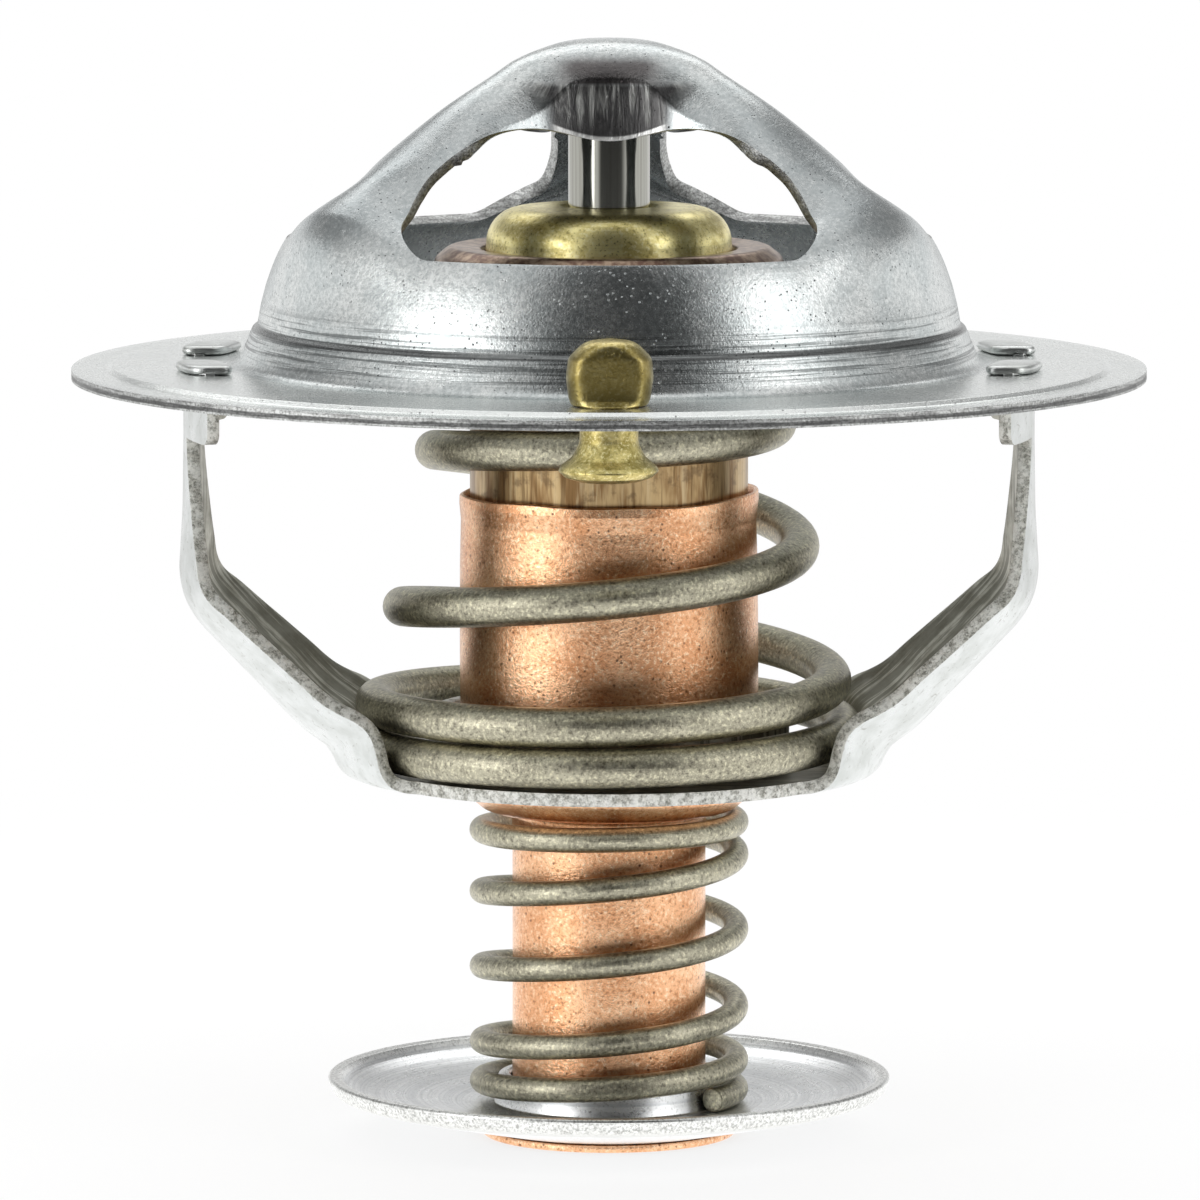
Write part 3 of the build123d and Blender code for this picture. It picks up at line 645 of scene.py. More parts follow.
# (r, z) along a window's edge
EDGE = [(4.3, 12.15), (5.0, 12.5), (6.0, 12.8), (7.4, 12.9), (8.9, 12.7), (10.5, 12.0), (12.14, 10.85),
        (13.28, 9.6), (13.9, 8.75), (15.05, 7.95), (15.9, 7.4), (16.2, 7.0), (17.0, 5.4)]
# (r of the edge, share of the height between edge and ridge that is a steep wall)
WALL = [(4.3, 0.70), (5.0, 0.66), (5.6, 0.48), (6.1, 0.30), (7.0, 0.13), (9.0, 0.08), (14.0, 0.06)]
# (r, half width of the arch over a leg)
ARCH_HALF = [(6, LEG_HALF), (11, LEG_HALF), (12.2, 3.0), (13.3, 3.35), (14.3, 4.6), (15.2, 6.3), (15.8, 7.0),
             (16.2, FOOT_HALF), (17.0, FOOT_HALF)]
# the skirt's upper part under a window and under a leg: (way down, r) and (way down, z)
UNDER_WINDOW = ([(0, 16.2), (0.3, 16.53), (0.6, 16.85), (1, 17.22)],
                [(0, 7.0), (0.3, 6.42), (0.6, 5.72), (1, 4.7)])
UNDER_LEG = ([(0, 16.2), (0.25, 16.68), (0.5, 16.96), (0.75, 17.08), (1, 17.22)],
             [(0, 8.6), (0.25, 7.75), (0.5, 6.7), (0.75, 5.7), (1, 4.7)])
SKIRT_ROWS = 15
# (r, z) from there down the drawn steps to the flat of the flange, and over its own step to the rim
LOWER_SKIRT = [(17.22, 4.7), (17.48, 3.7, 1.5), (17.66, 2.72, 0.16), (17.92, 2.52, 0.22), (18.36, 1.45, 1.2),
               (18.72, SHEET_T, 0.75), (19.8, SHEET_T)]
FLAT_R = (20.25, 20.69, 20.95, 21.2, 21.46, 21.9, 22.35, 22.8, 23.25, 23.7, 24.1, 24.5)
OUTER_BAND = [(24.5, SHEET_T), (24.98, SHEET_T, 0.1), (25.22, RIM_T, 0.1), (25.7, RIM_T), (26.3, RIM_T),
              (FLANGE_R, RIM_T)]
SLOT_R, SLOT_TURN = (20.69, 21.46), (8.9, 19.9)   # a tab's slot: two radii, and two turns from the X axis
PIN_HOLE_R = 1.75
PATCH_ROWS, PATCH_HALF = 11, 7        # the patch of the flange's net that the pin's hole takes
RIM_SHARE = 0.7143                    # the rim's share of the sheet's thickness


def window_edge():
    """A window's outline beside a leg, as (s along the leg, t across it), from the hub to its outer end.

    It is an arc of APEX_R, a straight side and an arc of CORNER_R. Each point also has the place on
    the ridge that its row of the leg's net starts from.
    """
    a = np.radians(np.linspace(240, 270, APEX_ROWS + 1))
    apex = APEX + APEX_R * np.stack([np.cos(a), np.sin(a)], 1)
    side = LEG_HALF + CORNER_R
    reach = np.sqrt((OPEN_R - CORNER_R) ** 2 - side ** 2)
    s = np.linspace(apex[-1, 0], reach, SIDE_ROWS + 1)[1:]
    straight = np.stack([s, np.full(len(s), LEG_HALF)], 1)
    end = np.degrees(np.arctan2(side, reach))
    a = np.radians(np.linspace(270, 360 + end, CORNER_ROWS + 1))[1:]
    corner = np.stack([reach + CORNER_R * np.cos(a), side + CORNER_R * np.sin(a)], 1)
    ridge = np.concatenate([apex[-1, 0] * np.linspace(0, 1, APEX_ROWS + 1) ** 2, s,
                            np.linspace(reach, OPEN_R, CORNER_ROWS + 1)[1:]])
    return np.concatenate([apex, straight, corner]), ridge


def leg_rows():
    """Places (r, angle, s, t) of half a leg's net, and each row's start (s) and end (r).

    Each row runs straight from the ridge to the window's edge. Beside the window's outer corner the
    rows turn, by degrees, into arcs round the Z axis, so that the last one is the skirt's first ring.
    """
    edge, ridge = window_edge()
    rows = len(edge)
    row = np.arange(rows)[:, None]
    u = np.linspace(0, 1, COLUMNS + 1)[None, :]
    s_ridge = ridge[:, None]
    s_edge, t_edge = edge[:, :1], edge[:, 1:]
    r_edge, a_edge = np.hypot(s_edge, t_edge), np.arctan2(t_edge, s_edge)
    fan = ramp(row, rows - CORNER_ROWS, rows - 1)
    power = 1 - 0.3 * (1 - ramp(s_ridge, 2.5, 8.5))
    f = (1 - fan) * np.sin(u * np.pi / 2) ** power + fan * u
    s, t = s_ridge + (s_edge - s_ridge) * f, t_edge * f
    r_line, a_line = np.hypot(s, t), np.arctan2(t, np.maximum(s, 1e-9))
    r_arc, a_arc = s_ridge + (r_edge - s_ridge) * f ** 1.5, a_edge * f
    r = (1 - fan) * r_line + fan * r_arc
    angle = np.where(s_ridge + 0 * f > 0.01, (1 - fan) * a_line + fan * a_arc, a_edge)
    return r, angle, s, t, s_ridge, r_edge


def leg_net():
    """Half leg as (r, angle, z): z = edge + (ridge - edge) times a share, which has two forms.

    Near the hub, with x the way in from the window's edge, it is a steep wall and then
    wall + (1 - wall) (1 - (1 - x)^2.1)^0.85. Further out it is an arch, (1 - x^2)^p, with x the way
    across the arch's half width.
    """
    r, angle, s, t, s_ridge, r_edge = leg_rows()
    off_s, off_t = s - APEX[0], t - APEX[1]
    inside = np.where(off_s > 0, LEG_HALF - t, np.hypot(off_s, off_t) - APEX_R)
    x = np.clip(inside / LEG_HALF, 0, 1)
    wall = eased(r_edge, WALL)
    rise = np.clip(inside / 0.1, 0, 1) * wall + (1 - wall) * (1 - (1 - x) ** 2.1) ** 0.85
    near = eased(r_edge, EDGE) + (eased(r, RIDGE) - eased(r_edge, EDGE)) * rise
    across = np.clip(r * np.sin(angle) / eased(r, ARCH_HALF), 0, 1)
    arch = (1 - across ** 2) ** (1 + (FOOT_POWER - 1) * ramp(r, 12.0, 15.5))
    turned_in = angle * 0.5 * (1 - ramp(r, 13.5, 16.1))
    far = eased(r, EDGE) + (eased(r * np.cos(turned_in), RIDGE) - eased(r, EDGE)) * arch
    share = ramp(s_ridge, 6.0, 11.0)
    return r, angle, (1 - share) * near + share * far


def skirt_rings(turn):
    """Rings (rows, columns, 3) from the windows' ends down the skirt and out over the flange.

    turn is the way round from one leg to the next. Down to the drawn steps a ring mixes the profile
    under a window with the one under a leg, by the share (1 - (t / half)^2)^p of the leg's arch.
    """
    around = np.concatenate([turn + np.radians(90 + 120 * k) for k in range(3)])
    from_leg = np.tile(np.minimum(turn, 2 * np.pi / 3 - turn), 3)
    across = np.clip(OPEN_R * np.sin(from_leg) / FOOT_HALF, 0, 1)
    share = (1 - across ** 2) ** FOOT_POWER
    k = np.linspace(0, 1, SKIRT_ROWS)[:, None]
    upper = [(1 - share) * eased(k, window) + share * eased(k, leg)
             for window, leg in zip(UNDER_WINDOW, UNDER_LEG)]
    below = np.concatenate([rounded(LOWER_SKIRT, 6, closed=False)[1:],
                            np.array([(r, SHEET_T) for r in FLAT_R]),
                            rounded(OUTER_BAND, 4, closed=False)[1:]])
    repeated = np.repeat(below.T[:, :, None], len(around), 2)
    radius, height = np.concatenate([upper, repeated], axis=1)
    return np.stack([radius * np.cos(around), radius * np.sin(around), height], -1)


def flange_net(ring):
    """The rings as a net with four slots for the tabs and a round hole for the jiggle pin."""
    rows, columns = ring.shape[:2]
    net, quads = grid(ring, wrap_columns=True)
    x, y = net[quads].mean(axis=1)[:, :2].T
    r, turn = np.hypot(x, y), np.abs(np.degrees(np.arctan2(y, x)))
    turn = np.minimum(turn, 180 - turn)
    slot = (r > SLOT_R[0]) & (r < SLOT_R[1]) & (turn > SLOT_TURN[0]) & (turn < SLOT_TURN[1])
    first = int(np.argmin(np.abs(np.hypot(ring[:, 0, 0], ring[:, 0, 1]) - LOWER_SKIRT[-1][0])))
    last = first + PATCH_ROWS
    middle = int(np.argmin(ring[-1, :, 1]))
    row_of = np.repeat(np.arange(rows - 1), columns)
    column_of = np.tile(np.arange(columns), rows - 1)
    off = (column_of - middle + columns // 2) % columns - columns // 2
    patch = (row_of >= first) & (row_of < last) & (off >= -PATCH_HALF) & (off < PATCH_HALF)
    return joined([(net, quads[~slot & ~patch]), hole_net(ring, first, last, middle)])


def hole_net(ring, first, last, middle):
    """Round hole of the jiggle pin: rings that run from the edge of a patch of the flange in to a circle."""
    across = (middle + np.arange(-PATCH_HALF, PATCH_HALF + 1)) % ring.shape[1]
    down = np.arange(first, last + 1)
    border = np.concatenate([ring[first, across[:-1]], ring[down[:-1], across[-1]],
                             ring[last, across[:0:-1]], ring[down[:0:-1], across[0]]])
    centre = np.array([0, PIN_Y, SHEET_T])
    away = border - centre
    turn = np.arctan2(away[:, 1], away[:, 0])
    circle = centre + PIN_HOLE_R * np.stack([np.cos(turn), np.sin(turn), 0 * turn], 1)
    t = np.linspace(0, 1, 5)[:, None, None]
    return grid(border * (1 - t) + circle * t, wrap_columns=True)


def bridge_net():
    """Three legs with their hub, and the skirt and flange below them, as one net."""
    r, angle, z = leg_net()
    parts = []
    for leg in np.radians([90, 210, 330]):
        for side in (1, -1):
            a = leg + side * angle
            parts.append(one_sided(np.stack([r * np.cos(a), r * np.sin(a), z], -1), side))
    half = np.concatenate([angle[-1], np.linspace(angle[-1, -1], np.pi / 3, COLUMNS + 1)[1:]])
    turn = np.concatenate([half[:-1], 2 * np.pi / 3 - half[:0:-1]])
    return joined([*parts, flange_net(skirt_rings(turn))])


def bridge(looks):
    """The pressed sheet of bridge and flange, thinner at its rim, and the rod's socket under the crown."""
    made = piece("bridge_sheet", bridge_net(), "bridge_flange", "housing", looks,
                 outward=-1, sharp=50)

    def shares(co):
        return RIM_SHARE + (1 - RIM_SHARE) * ramp(-np.hypot(co[:, 0], co[:, 1]), -25.1, -24.6)

    thicken(made, SHEET_T, 0.17, rim=1, shares=shares)
    socket = turned([(BORE_R, 12.5), (2.85, 12.5, 0.15), (2.85, 16.1), (BORE_R, 16.1)], segments=96)
    piece("rod_socket", socket, "bridge_flange", "housing", looks[0])


# ---------------------------------------------------------------- lower frame

PLATE_R = 12.1
BASE_HALF = 7.5                       # half width of an arm where it joins the base plate
COLLAR_R, COLLAR_TOP = 8.775, -16.85
NECK_R, NECK_Z, NECK_HALF, NECK_CURVE = 21.07, -2.8, 2.9, 18.0
HEAD_FLAT, HEAD_CORNER, HEAD_TOP = 6.4, 0.6, 0.02
TAB_Y = 5.15
# the middle surface of an arm's strip, whose sides stand up by lift
ARM_TABLE = [
    # (way, r, z, half width, curve radius, lift)
    (0.0, NECK_R, NECK_Z, NECK_HALF, NECK_CURVE, 0.0),
    (1.2, 21.10, -4.6, 3.5, 17.0, 0.0),
    (2.4, 21.14, -6.6, 4.2, 15.5, 0.0),
    (3.5, 21.25, -8.5, 4.9, 13.8, 0.0),
    (4.2, 21.30, -9.8, 5.35, 13.4, 0.1),
    (4.9, 21.05, -11.0, 5.7, 13.2, 0.45),
    (5.5, 20.5, -12.0, 6.0, 12.75, 0.8),
    (6.2, 19.6, -13.0, 6.15, 13.0, 0.95),
    (7.2, 18.35, -14.3, 6.4, 14.0, 1.14),
    (8.2, 17.0, -15.7, 6.6, 14.8, 1.34),
    (9.1, 15.75, -17.0, 6.85, 15.9, 1.53),
    (9.55, 15.1, -17.6, 7.1, 15.7, 1.65),
    (9.9, 14.55, -18.0, 7.3, 14.9, 1.7),
    (10.2, 14.1, -18.35, 7.4, 14.1, 1.6),
    (10.5, 13.8, -18.75, BASE_HALF, 13.8, 1.4),
    (10.8, 13.6, -19.1, BASE_HALF, 13.6, 0.95),
    (11.1, 13.45, -19.42, BASE_HALF, 13.45, 0.5),
    (11.4, 13.15, -19.7, BASE_HALF, 13.15, 0.18),
    (11.7, 12.65, -19.84, BASE_HALF, 12.65, 0.05),
    (12.1, PLATE_R, PLATE_Z, BASE_HALF, PLATE_R, 0.0),
]
ARM_SPREAD = np.arcsin(BASE_HALF / PLATE_R)
ARM_COLUMNS = np.linspace(-1, 1, 41)
ACROSS = np.sin(ARM_SPREAD * ARM_COLUMNS) / np.sin(ARM_SPREAD)


def arm_net(side):
    """One arm from its neck to the base plate: y = w u, x = r - (c - sqrt(c^2 - y^2)), z = h + lift u^2."""
    table = np.array(ARM_TABLE)
    way = np.concatenate([np.linspace(0, 3.5, 14)[:-1], np.linspace(3.5, 12.1, 88)])
    r, z, half, curve, lift = (eased(way, table[:, [0, k]])[:, None] for k in (1, 2, 3, 4, 5))
    half = np.minimum(half, BASE_HALF)
    y = half * ACROSS[None, :]
    x = r - (curve - np.sqrt(curve ** 2 - y ** 2))
    return one_sided(np.stack([side * x, y, z + lift * (y / half) ** 2], -1), side)


def head_net(side):
    """The wide head of an arm under the flange: its middle carries on the neck, its low corners are round."""
    corner = HEAD_CORNER * np.sin(np.linspace(0, np.pi / 2, 7))[1:]
    outer = np.concatenate([np.linspace(NECK_HALF, HEAD_FLAT, 12)[1:], HEAD_FLAT + corner])
    y = np.concatenate([-outer[::-1], NECK_HALF * ACROSS, outer])[None, :]
    past = np.clip(np.abs(y) - HEAD_FLAT, 0, HEAD_CORNER)
    foot = NECK_Z + HEAD_CORNER - np.sqrt(HEAD_CORNER ** 2 - past ** 2)
    drop = np.linspace(0, 1, 13)[:, None]
    z = HEAD_TOP + (foot - HEAD_TOP) * drop
    x = NECK_R - (NECK_CURVE - np.sqrt(NECK_CURVE ** 2 - y ** 2)) + 0 * drop
    return one_sided(np.stack([side * x, y + 0 * drop, z], -1), side)


def base_net():
    """Round base plate with its drawn collar: rings from the collar's uneven top down and out to the edge."""
    arm = ARM_SPREAD * ARM_COLUMNS
    gap = np.linspace(ARM_SPREAD, np.pi - ARM_SPREAD, 65)[1:-1]
    angles = np.concatenate([arm, gap, np.pi + arm, np.pi + gap])
    section = rounded([(COLLAR_R, COLLAR_TOP), (COLLAR_R, PLATE_Z, 0.8), (PLATE_R, PLATE_Z)], 8, closed=False)
    upper = section[0] + (section[1] - section[0]) * np.linspace(0, 1, 8)[:, None]
    outer = section[-2] + (section[-1] - section[-2]) * np.linspace(0, 1, 10)[:, None]
    section = np.concatenate([upper, section[2:-2], outer])
    r, z = section[:, :1], section[:, 1:]
    wave = 0.10 * np.sin(2 * angles + 0.6) + 0.06 * np.sin(5 * angles + 1.9)
    z = z + wave * ramp(-r, -8.9, -8.7) * ramp(z, -18.4, COLLAR_TOP)
    points = np.stack([r * np.cos(angles), r * np.sin(angles), z + 0 * angles], -1)
    points, quads = grid(points, wrap_columns=True)
    return points, quads[:, ::-1]


def pad_net(centre, half, power, profile):
    """Pad of superellipse rings (a cos^(2/n), b sin^(2/n)), one for each (share, height) of the profile."""
    turn = np.arange(72) * 2 * np.pi / 72
    c, s = np.cos(turn), np.sin(turn)
    across = np.sign(c) * np.abs(c) ** (2 / power)
    along = np.sign(s) * np.abs(s) ** (2 / power)
    share, z = np.array(profile, float).T[:, :, None]
    x = centre[0] + half[0] * share * across
    y = centre[1] + half[1] * (1 - (1 - share) * half[0] / half[1]) * along * (share > 0)
    x = x - ((y ** 2 - centre[1] ** 2) / (2 * centre[0])) * (share > 0)
    return grid(np.stack([x, y, z + 0 * x], -1), wrap_columns=True)


def tab_net(side, end):
    """End of an arm's post, hammered flat over the flange's slot, with the post below it."""
    head = pad_net((side * 20.2, end * TAB_Y), (1.22, 1.88), 3.6,
                   [(0, 0.72), (0.80, 0.72), (0.93, 0.76), (1.0, 0.90), (0.99, 1.04), (0.93, 1.13),
                    (0.80, 1.18), (0.5, 1.2), (0, 1.2)])
    post = pad_net((side * 20.35, end * TAB_Y), (0.31, 1.82), 9.0,
                   [(0, HEAD_TOP), (1.0, HEAD_TOP), (1.0, 0.9), (0, 0.9)])
    return joined([head, post])


def lower_frame(looks):
    """The bent strip, its base plate and its four folded tabs."""
    strip = joined([base_net(), *[net(side) for side in (1, -1) for net in (arm_net, head_net)]])
    made = piece("frame_strip", strip, "lower_frame", "housing", looks, outward=1, sharp=50)
    thicken(made, STRIP_T, 0.07, offset=0.0, rim=1, outer=2)
    for side in (1, -1):
        for end in (1, -1):
            name = f"folded_tab_{'right' if side > 0 else 'left'}_{'back' if end > 0 else 'front'}"
            piece(name, tab_net(side, end), "lower_frame", "housing", looks[2], sharp=50)


# ---------------------------------------------------------------- springs

TURN_STEPS, WIRE_SIDES = 96, 28


def coil_net(wire, turns, radius, height):
    """Round wire of radius w along p = (R cos a, R sin a, h), with R and h by turn.

    Each ring is p + w (cos b N + sin b B), with N away from the axis and B across the wire. The cut
    ends close on flat faces with eased rims.
    """
    turn = np.linspace(*turns, int(round((turns[1] - turns[0]) * TURN_STEPS)) + 1)
    angle = np.pi + 2 * np.pi * turn
    r, h = radius(turn), height(turn)
    path = np.stack([r * np.cos(angle), r * np.sin(angle), h], 1)
    along = np.gradient(path, axis=0)
    along /= np.linalg.norm(along, axis=1)[:, None]
    out = np.stack([np.cos(angle), np.sin(angle), 0 * angle], 1)
    up = np.cross(out, along)
    up /= np.linalg.norm(up, axis=1)[:, None]
    out = np.cross(along, up)
    b = np.arange(WIRE_SIDES) * 2 * np.pi / WIRE_SIDES
    ring = np.cos(b)[None, :, None] * out[:, None] + np.sin(b)[None, :, None] * up[:, None]
    tube = path[:, None] + wire * ring
    shares = np.array([0.0, 0.45, 0.86, 0.97])[:, None, None]
    inset = np.array([0.0, 0.0, 0.0, 0.05])[:, None, None]
    start = path[0] + wire * shares * ring[0] + along[0] * inset * wire
    end = path[-1] + wire * shares[::-1] * ring[-1] - along[-1] * inset[::-1] * wire
    tube[0] += along[0] * wire * 0.14
    tube[-1] -= along[-1] * wire * 0.14
    return grid(np.concatenate([start, tube, end]), wrap_columns=True)


def main_spring(look):
    """Conical valve spring: wide closed coil in the frame's cup, narrow one under the valve."""
    low, high, closed = -18.51, -0.14, 2.08
    pitch, wide, narrow = (high - low) / 3.4, 11.8, 8.45
    table = [(0, low), (0.3, low + 0.12 * closed), (1.0, low + 0.98 * closed), (1.25, low + 1.08 * closed),
             (1.5, low + 1.55 * closed), (2.0, low + 1.27 * pitch), (2.5, low + 1.86 * pitch),
             (3.0, high - 1.72 * closed), (3.5, high - 1.04 * closed), (4.0, high - 0.15 * closed),
             (4.4, high)]
    net = coil_net(1.0, (0.0, 4.4), lambda t: wide + (narrow - wide) * np.clip((t - 1.15) / 2.05, 0, 1),
                   lambda t: eased(t, table))
    made = piece("valve_spring", net, "main_spring", "housing", look, sharp=50)
    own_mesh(made)


def bypass_spring(look):
    """Straight spring between the copper shoulder and the bypass disc."""
    low, high, closed = -36.235, SHOULDER_Z - 0.665, 1.31
    span = high - low
    table = [(-0.6, low), (-0.2, low + 0.08 * closed), (0.4, low + 1.02 * closed), (1.0, low + 0.18 * span),
             (2.0, low + 0.46 * span), (3.0, low + 0.74 * span), (3.6, high - 1.02 * closed),
             (4.2, high - 0.1 * closed), (4.6, high)]
    net = coil_net(0.625, (-0.6, 4.6), lambda t: 6.43 + 0 * t, lambda t: eased(t, table))
    made = piece("relief_spring", net, "bypass_spring", "element", look, sharp=50)
    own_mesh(made)


# ---------------------------------------------------------------- element, valves and pin

def push_rod(look):
    """Ground rod with an eased top and a tapered lower end."""
    net = turned([(0, ROD_TOP), (1.75, ROD_TOP, 0.1), (ROD_R, 15.7, 0.1), (ROD_R, -9.5, 0.5),
                  (1.1, ROD_END, 0.5), (0, ROD_END)], segments=128)
    piece("piston_rod", net, "push_rod", "housing", look)


def guide_cap(look):
    """Turned cap with a domed top and a small countersink round the rod."""
    turn = np.radians(np.arange(0, 91, 10))
    dome = [(4.42 + 1.75 * np.cos(a), 6.75 + 1.78 * np.sin(a)) for a in turn]
    net = turned([(BORE_R, GUIDE_Z), (GUIDE_R, GUIDE_Z), (GUIDE_R, 6.1, 0.2), (6.22, 6.1, 0.1), *dome,
                  (3.2, 8.6), (2.45, 8.62, 0.12), (BORE_R, 8.3)])
    piece("rod_guide", net, "guide_cap", "element", look)


def element_case(look):
    """Drawn case with its crimped shoulder: the crimp rolls over the guide and bulges a little."""
    net = turned([(0, CASE_END), (CASE_R, CASE_END, 1.2), (CASE_R, 3.75, 0.3), (7.9, 4.1, 0.35),
                  (8.8, 4.75, 0.5), (8.8, 6.0, 0.75), (8.0, 6.6, 0.6), (6.45, 6.5, 0.2), (6.3, 6.12),
                  (8.29, 6.08, 0.2), (8.29, 4.8), (6.4, 4.8, 0.3), (6.4, -18.8, 0.6), (0, -18.8)])
    piece("wax_case", net, "element_case", "element", look)


def copper_cup(look):
    """Copper cup on the case, its lip flared and uneven, drawn below into the tail."""
    def sway(points, angles):
        """Slow waves in the lip's height and radius, and three faint dents in the cup."""
        r = np.hypot(points[..., 0], points[..., 1])
        lip = ramp(points[..., 2], -7.2, -5.7) * (r > 6.5)
        wave = 0.10 * np.sin(angles + 0.8) + 0.07 * np.sin(3 * angles + 2.0) + 0.03 * np.sin(8 * angles)
        dent = 0.02 * np.sin(3 * angles + points[..., 2] * 0.25) * (np.abs(points[..., 2] + 14) < 7)
        points[..., 2] += lip * wave
        scale = 1 + (dent + lip * 0.03 * np.sin(2 * angles + 1.0)) / np.maximum(r, 1)
        points[..., :2] *= scale[..., None]
        return points

    net = turned([(7.06, -8.0), (7.10, -6.6, 0.5), (7.24, -5.9), (7.34, -5.78, 0.06), (7.50, -5.82, 0.1),
                  (7.52, -6.3, 0.4), (7.44, -7.2, 0.8), (7.50, -9.5, 2.0), (7.53, -14.0), (7.50, -19.5),
                  (7.45, -20.9, 0.8), (6.3, -21.88, 0.9), (4.9, SHOULDER_Z, 0.5), (TAIL_R, -24.0),
                  (TAIL_R, -30.0), (4.9, TAIL_END), (4.3, TAIL_END), (4.3, -21.4, 0.5), (6.2, -21.3, 0.6),
                  (7.02, -20.4, 0.5)], steps=7, sway=sway)
    piece("copper_sheath", net, "copper_cup", "element", look)


def foot_cap(look):
    """Thin copper foot under the disc, with its plug up in the tail."""
    net = turned([(0, FOOT_Z), (6.4, FOOT_Z, 0.15), (6.4, TAIL_END, 0.15), (4.27, TAIL_END, 0.1),
                  (4.27, PLUG_TOP, 0.4), (0, PLUG_TOP)], segments=128)
    piece("copper_foot", net, "foot_cap", "element", look)


def bypass_disc(look):
    """Turned dish with a thin raised rim, an inner step and a collar on the tail."""
    net = turned([(4.98, -38.0), (6.6, -38.0, 0.4), (9.6, -37.35, 1.5), (13.2, -36.55, 0.9),
                  (13.95, -36.3, 0.35), (14.25, -35.62, 0.14), (14.12, -35.48, 0.1), (13.6, -35.52, 0.12),
                  (13.3, -35.95, 0.4), (12.6, -36.25, 0.5), (11.9, -36.42, 0.3), (8.4, -36.72, 1.0),
                  (7.5, -36.86, 0.3), (5.75, -36.9, 0.15), (5.62, -36.4), (5.62, -35.45, 0.12),
                  (5.1, -35.35, 0.1), (4.98, -35.5)], segments=192)
    piece("bypass_plate", net, "bypass_disc", "bypass", look)


def main_valve(look):
    """Valve plate with its drawn neck."""
    net = turned([(7.02, 0.9, 0.5), (16.9, 0.9, 0.3), (16.9, 1.7, 0.3), (7.82, 1.7, 0.6), (7.82, 3.8),
                  (7.02, 3.8)])
    piece("valve_plate", net, "main_valve", "element", look)


def valve_seal(look):
    """Rubber lip on the valve's rim."""
    net = turned([(15.36, 1.7), (16.86, 1.7), (16.86, 2.3, 0.15), (16.1, 2.5, 0.4), (15.36, 2.2, 0.15)])
    piece("seal_ring", net, "valve_seal", "element", look)


def inner_stack(rubber, plastic, wax):
    """Washer, rubber sleeve and wax charge inside the case."""
    washer = turned([(BORE_R, 5.3), (GUIDE_R, 5.3, 0.05), (GUIDE_R, GUIDE_Z, 0.05), (BORE_R, GUIDE_Z)],
                    segments=96)
    piece("stack_washer", washer, "backup_washer", "element", plastic)
    sleeve = turned([(BORE_R, 5.3), (GUIDE_R, 5.3), (GUIDE_R, 4.8, 0.1), (4.4, 4.8, 0.5), (4.4, -9.5, 0.8),
                     (3.45, -15.0, 1.0), (0, -15.0), (0, -13.6), (1.15, -13.6, 0.3), (BORE_R, -9.5, 0.3)],
                    segments=96)
    piece("squeeze_sleeve", sleeve, "rubber_sleeve", "element", rubber)
    charge = turned([(0, -18.78), (6.38, -18.78, 0.7), (6.38, 4.2, 0.1), (4.42, 4.2), (4.42, -9.5, 0.8),
                     (3.47, -15.02, 0.9), (0, -15.02)], segments=96)
    piece("wax_fill", charge, "wax_charge", "element", wax)


def jiggle_pin(look):
    """Vent pin over a bell: a turned blank whose head was pinched front and back.

    The pinch is y = y / (1 + |y / f|^7)^(1/7), with f the half thickness of the head.
    """
    flat_half, pinch_z, lean = 1.42, 0.7, 0.012

    def pinch(points, angles):
        """Flattens the head, leans the pin a little, and puts it in its place."""
        head = ramp(points[..., 2], pinch_z, 1.0)
        y = points[..., 1]
        flat = y / (1 + np.abs(y / flat_half) ** 7) ** (1 / 7)
        points[..., 1] = y + (flat - y) * head + PIN_Y
        points[..., 0] += lean * (points[..., 2] - pinch_z)
        return points

    net = turned([(0, -2.95), (1.55, -2.93, 0.5), (2.15, -2.72, 0.3), (2.45, -2.42, 0.14), (2.30, -2.18, 0.2),
                  (1.75, -1.75, 1.0), (1.42, -1.05, 0.8), (1.42, 0.75), (1.85, 0.76, 0.15), (1.98, 1.1, 0.5),
                  (2.12, 2.1, 1.8), (2.02, 3.05, 0.6), (1.25, 3.82, 1.2), (0, 4.0)],
                 segments=112, steps=7, sway=pinch)
    piece("vent_pin", net, "jiggle_pin", "vent", look)


def build():
    """Every piece with its finish."""
    strip, wire, copper, rubber = bright_strip(), drawn_wire(), drawn_copper(), black_rubber()
    bridge([pressed_steel(), cut_edge()])
    lower_frame([dull_strip(), sheared_edge(), strip])
    main_spring(wire)
    bypass_spring(wire)
    push_rod(polished_rod())
    guide_cap(turned_brass())
    element_case(brushed_brass())
    copper_cup(copper)
    foot_cap(copper)
    bypass_disc(turned_steel())
    main_valve(valve_steel())
    valve_seal(rubber)
    inner_stack(rubber, white_washer(), copper_wax())
    jiggle_pin(pin_brass())


# ---------------------------------------------------------------- studio

EYE, EYE_TILT = (-0.000453, -0.535, 0.0525), 83.196
LENS, SENSOR = 320.7, 36
FLOOR_WIDTH = 3.0
PAPER_WHITE = 1.3


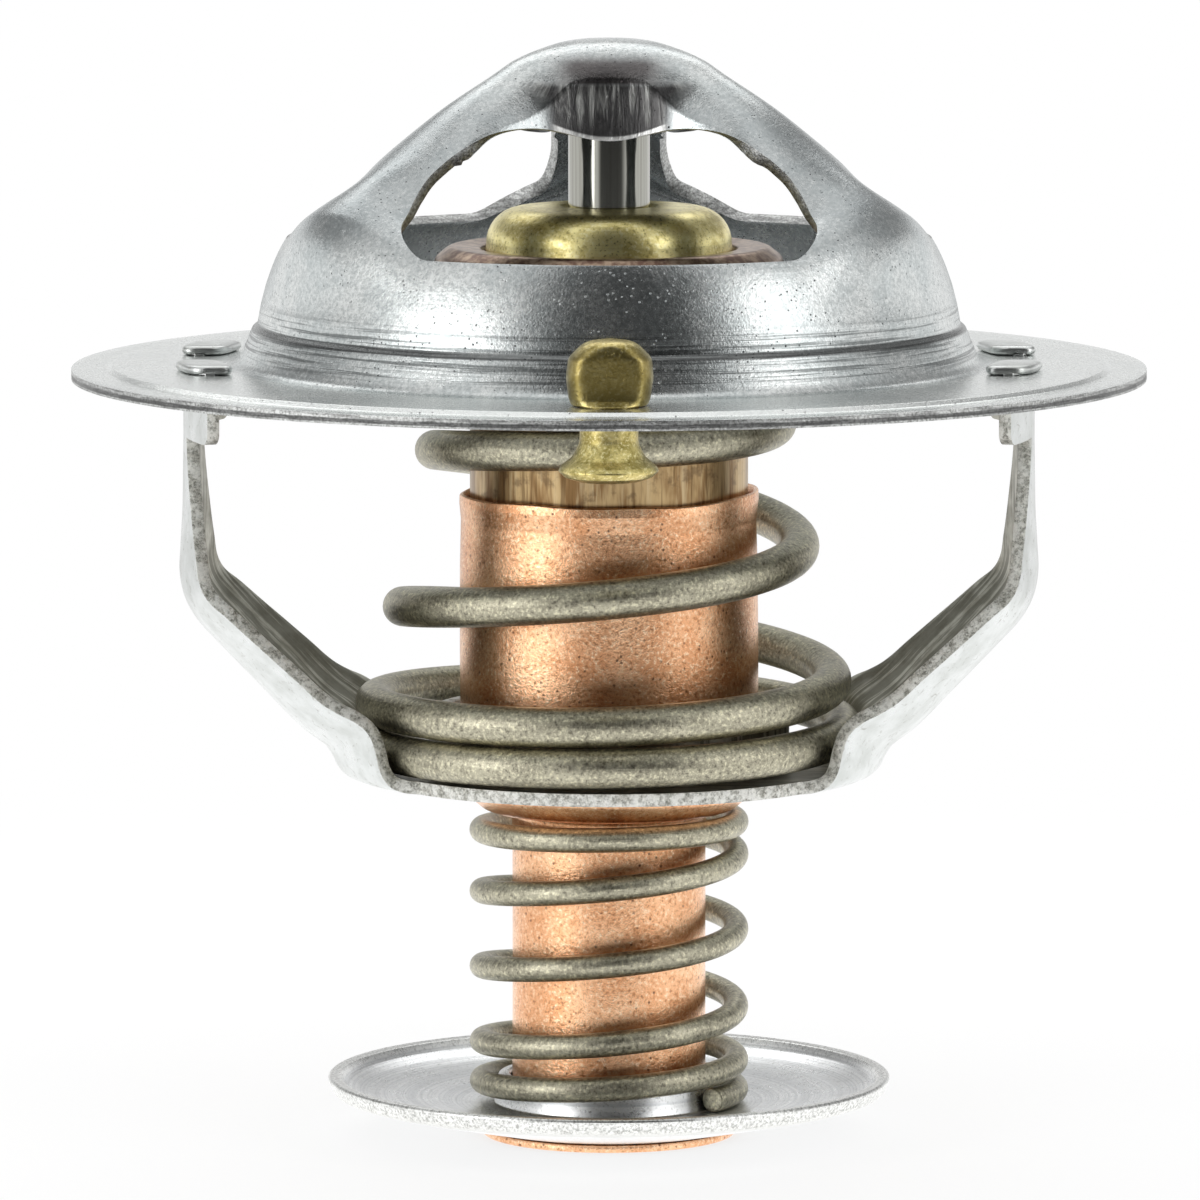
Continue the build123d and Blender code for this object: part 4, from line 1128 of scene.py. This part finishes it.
def floor_paper():
    """White paper, lit plainly by the lamps.

    The camera sees it fade to plain white round the object, with a faint shadow kept. Polished
    metal sees it white nearby, dark towards the room in front, and dim behind.
    """
    made = bpy.data.materials.new("floor_paper")
    made.use_nodes = True
    paper = Shading(made.node_tree)
    lit = paper.found("BSDF_PRINCIPLED")
    for key, value in (("Base Color", (0.93, 0.93, 0.93)), ("Roughness", 0.8), ("Specular IOR Level", 0.2)):
        paper.feed(value, lit.inputs[key])
    x, y, _ = paper.parts(paper.node("ShaderNodeNewGeometry").outputs["Position"])
    rays = paper.node("ShaderNodeLightPath").outputs
    camera, mirror = (Number(paper, rays[kind]) for kind in ("Is Camera Ray", "Is Glossy Ray"))
    away = (x * x + y * y) ** 0.5
    slant = x / away
    front = (0 - y).rise(0.12, 0.36) * abs(slant - 0.1).rise(0.72, 0.45)
    behind = y.rise(0.10, 0.28) * (1 - abs(slant).rise(0.16, 0.32))
    mirrored = (1 + away.rise(0.13, 0.06) * 0.3) * (1 - front * 0.95) * (1 - behind * 0.6)
    level = (1 + mirror * (mirrored - 1)) * (1 / PAPER_WHITE)
    plain = paper.node("ShaderNodeEmission", Color=level, Strength=PAPER_WHITE)
    share = camera * (0.72 + away.rise(0.05, 0.13) * 0.28) + mirror * 0.9
    mixed = paper.node("ShaderNodeMixShader", None, [(0, share), (1, lit.outputs[0]), (2, plain.outputs[0])])
    paper.feed(mixed.outputs[0], paper.found("OUTPUT_MATERIAL").inputs["Surface"])
    return made


def floor():
    """The sheet of paper that the foot stands on."""
    bpy.ops.mesh.primitive_plane_add(size=FLOOR_WIDTH, location=(0, 0, FOOT_Z * MM))
    made = bpy.context.object
    made.name = "floor"
    made.data.materials.append(floor_paper())


def placed(made, place):
    """Puts a lamp or the camera into the scene."""
    bpy.context.scene.collection.objects.link(made)
    made.location = place
    return made


def lamp(name, place, size, power):
    """Soft rectangular light that looks at the part's middle."""
    light = bpy.data.lights.new(name, "AREA")
    light.shape = "RECTANGLE"
    light.size, light.size_y = size
    light.energy = power
    made = placed(bpy.data.objects.new(name, light), place)
    made.rotation_euler = (Vector((0, 0, -0.01)) - Vector(place)).to_track_quat("-Z", "Y").to_euler()


def surroundings():
    """White all round. Polished metal sees dim walls, a dark room in front and a dimmer line behind."""
    world = bpy.data.worlds.new("white_surroundings")
    bpy.context.scene.world = world
    world.use_nodes = True
    room = Shading(world.node_tree)
    mirror = Number(room, room.node("ShaderNodeLightPath").outputs["Is Glossy Ray"])
    x, y, z = room.parts(room.node("ShaderNodeTexCoord").outputs["Generated"])
    white_walls = 1.0 - z.rise(0.14, 0.30) * z.rise(0.93, 0.76) * (y.rise(-0.15, 0.35) * 0.45 + 0.2)
    slant = x / ((x * x + y * y) ** 0.5 + 0.001)
    dark_room = (0 - y).rise(0.02, 0.14) * abs(slant - 0.1).rise(0.72, 0.45) * z.rise(-0.32, -0.18)
    behind = y.rise(0.92, 0.97) * z.rise(0.04, -0.02)
    seen = white_walls * (1 - dark_room * 0.95) * (1 - behind * 0.4)
    back = room.found("BACKGROUND")
    room.feed((1, 1, 1), back.inputs["Color"])
    room.feed(1.0 + mirror * (seen - 1.0), back.inputs["Strength"])


def camera():
    """The eye: far off, in front and a little above."""
    eye = bpy.data.cameras.new("camera")
    eye.lens, eye.sensor_width = LENS, SENSOR
    eye.clip_start, eye.clip_end = 0.01, 10
    made = placed(bpy.data.objects.new("camera", eye), EYE)
    made.rotation_euler = (np.radians(EYE_TILT), 0, 0)
    bpy.context.scene.camera = made


def studio():
    """A pale floor, white surroundings, two side lights, one behind, and the camera."""
    floor()
    lamp("left_light", (-0.50, -0.34, 0.10), (0.30, 0.34), 0.9)
    lamp("right_light", (0.50, -0.30, 0.22), (0.26, 0.40), 0.5)
    lamp("back_light", (-0.05, 0.45, 0.42), (0.6, 0.3), 0.7)
    surroundings()
    camera()
    bpy.context.scene.view_settings.view_transform = "Standard"


build()
studio()
bpy.context.view_layer.update()
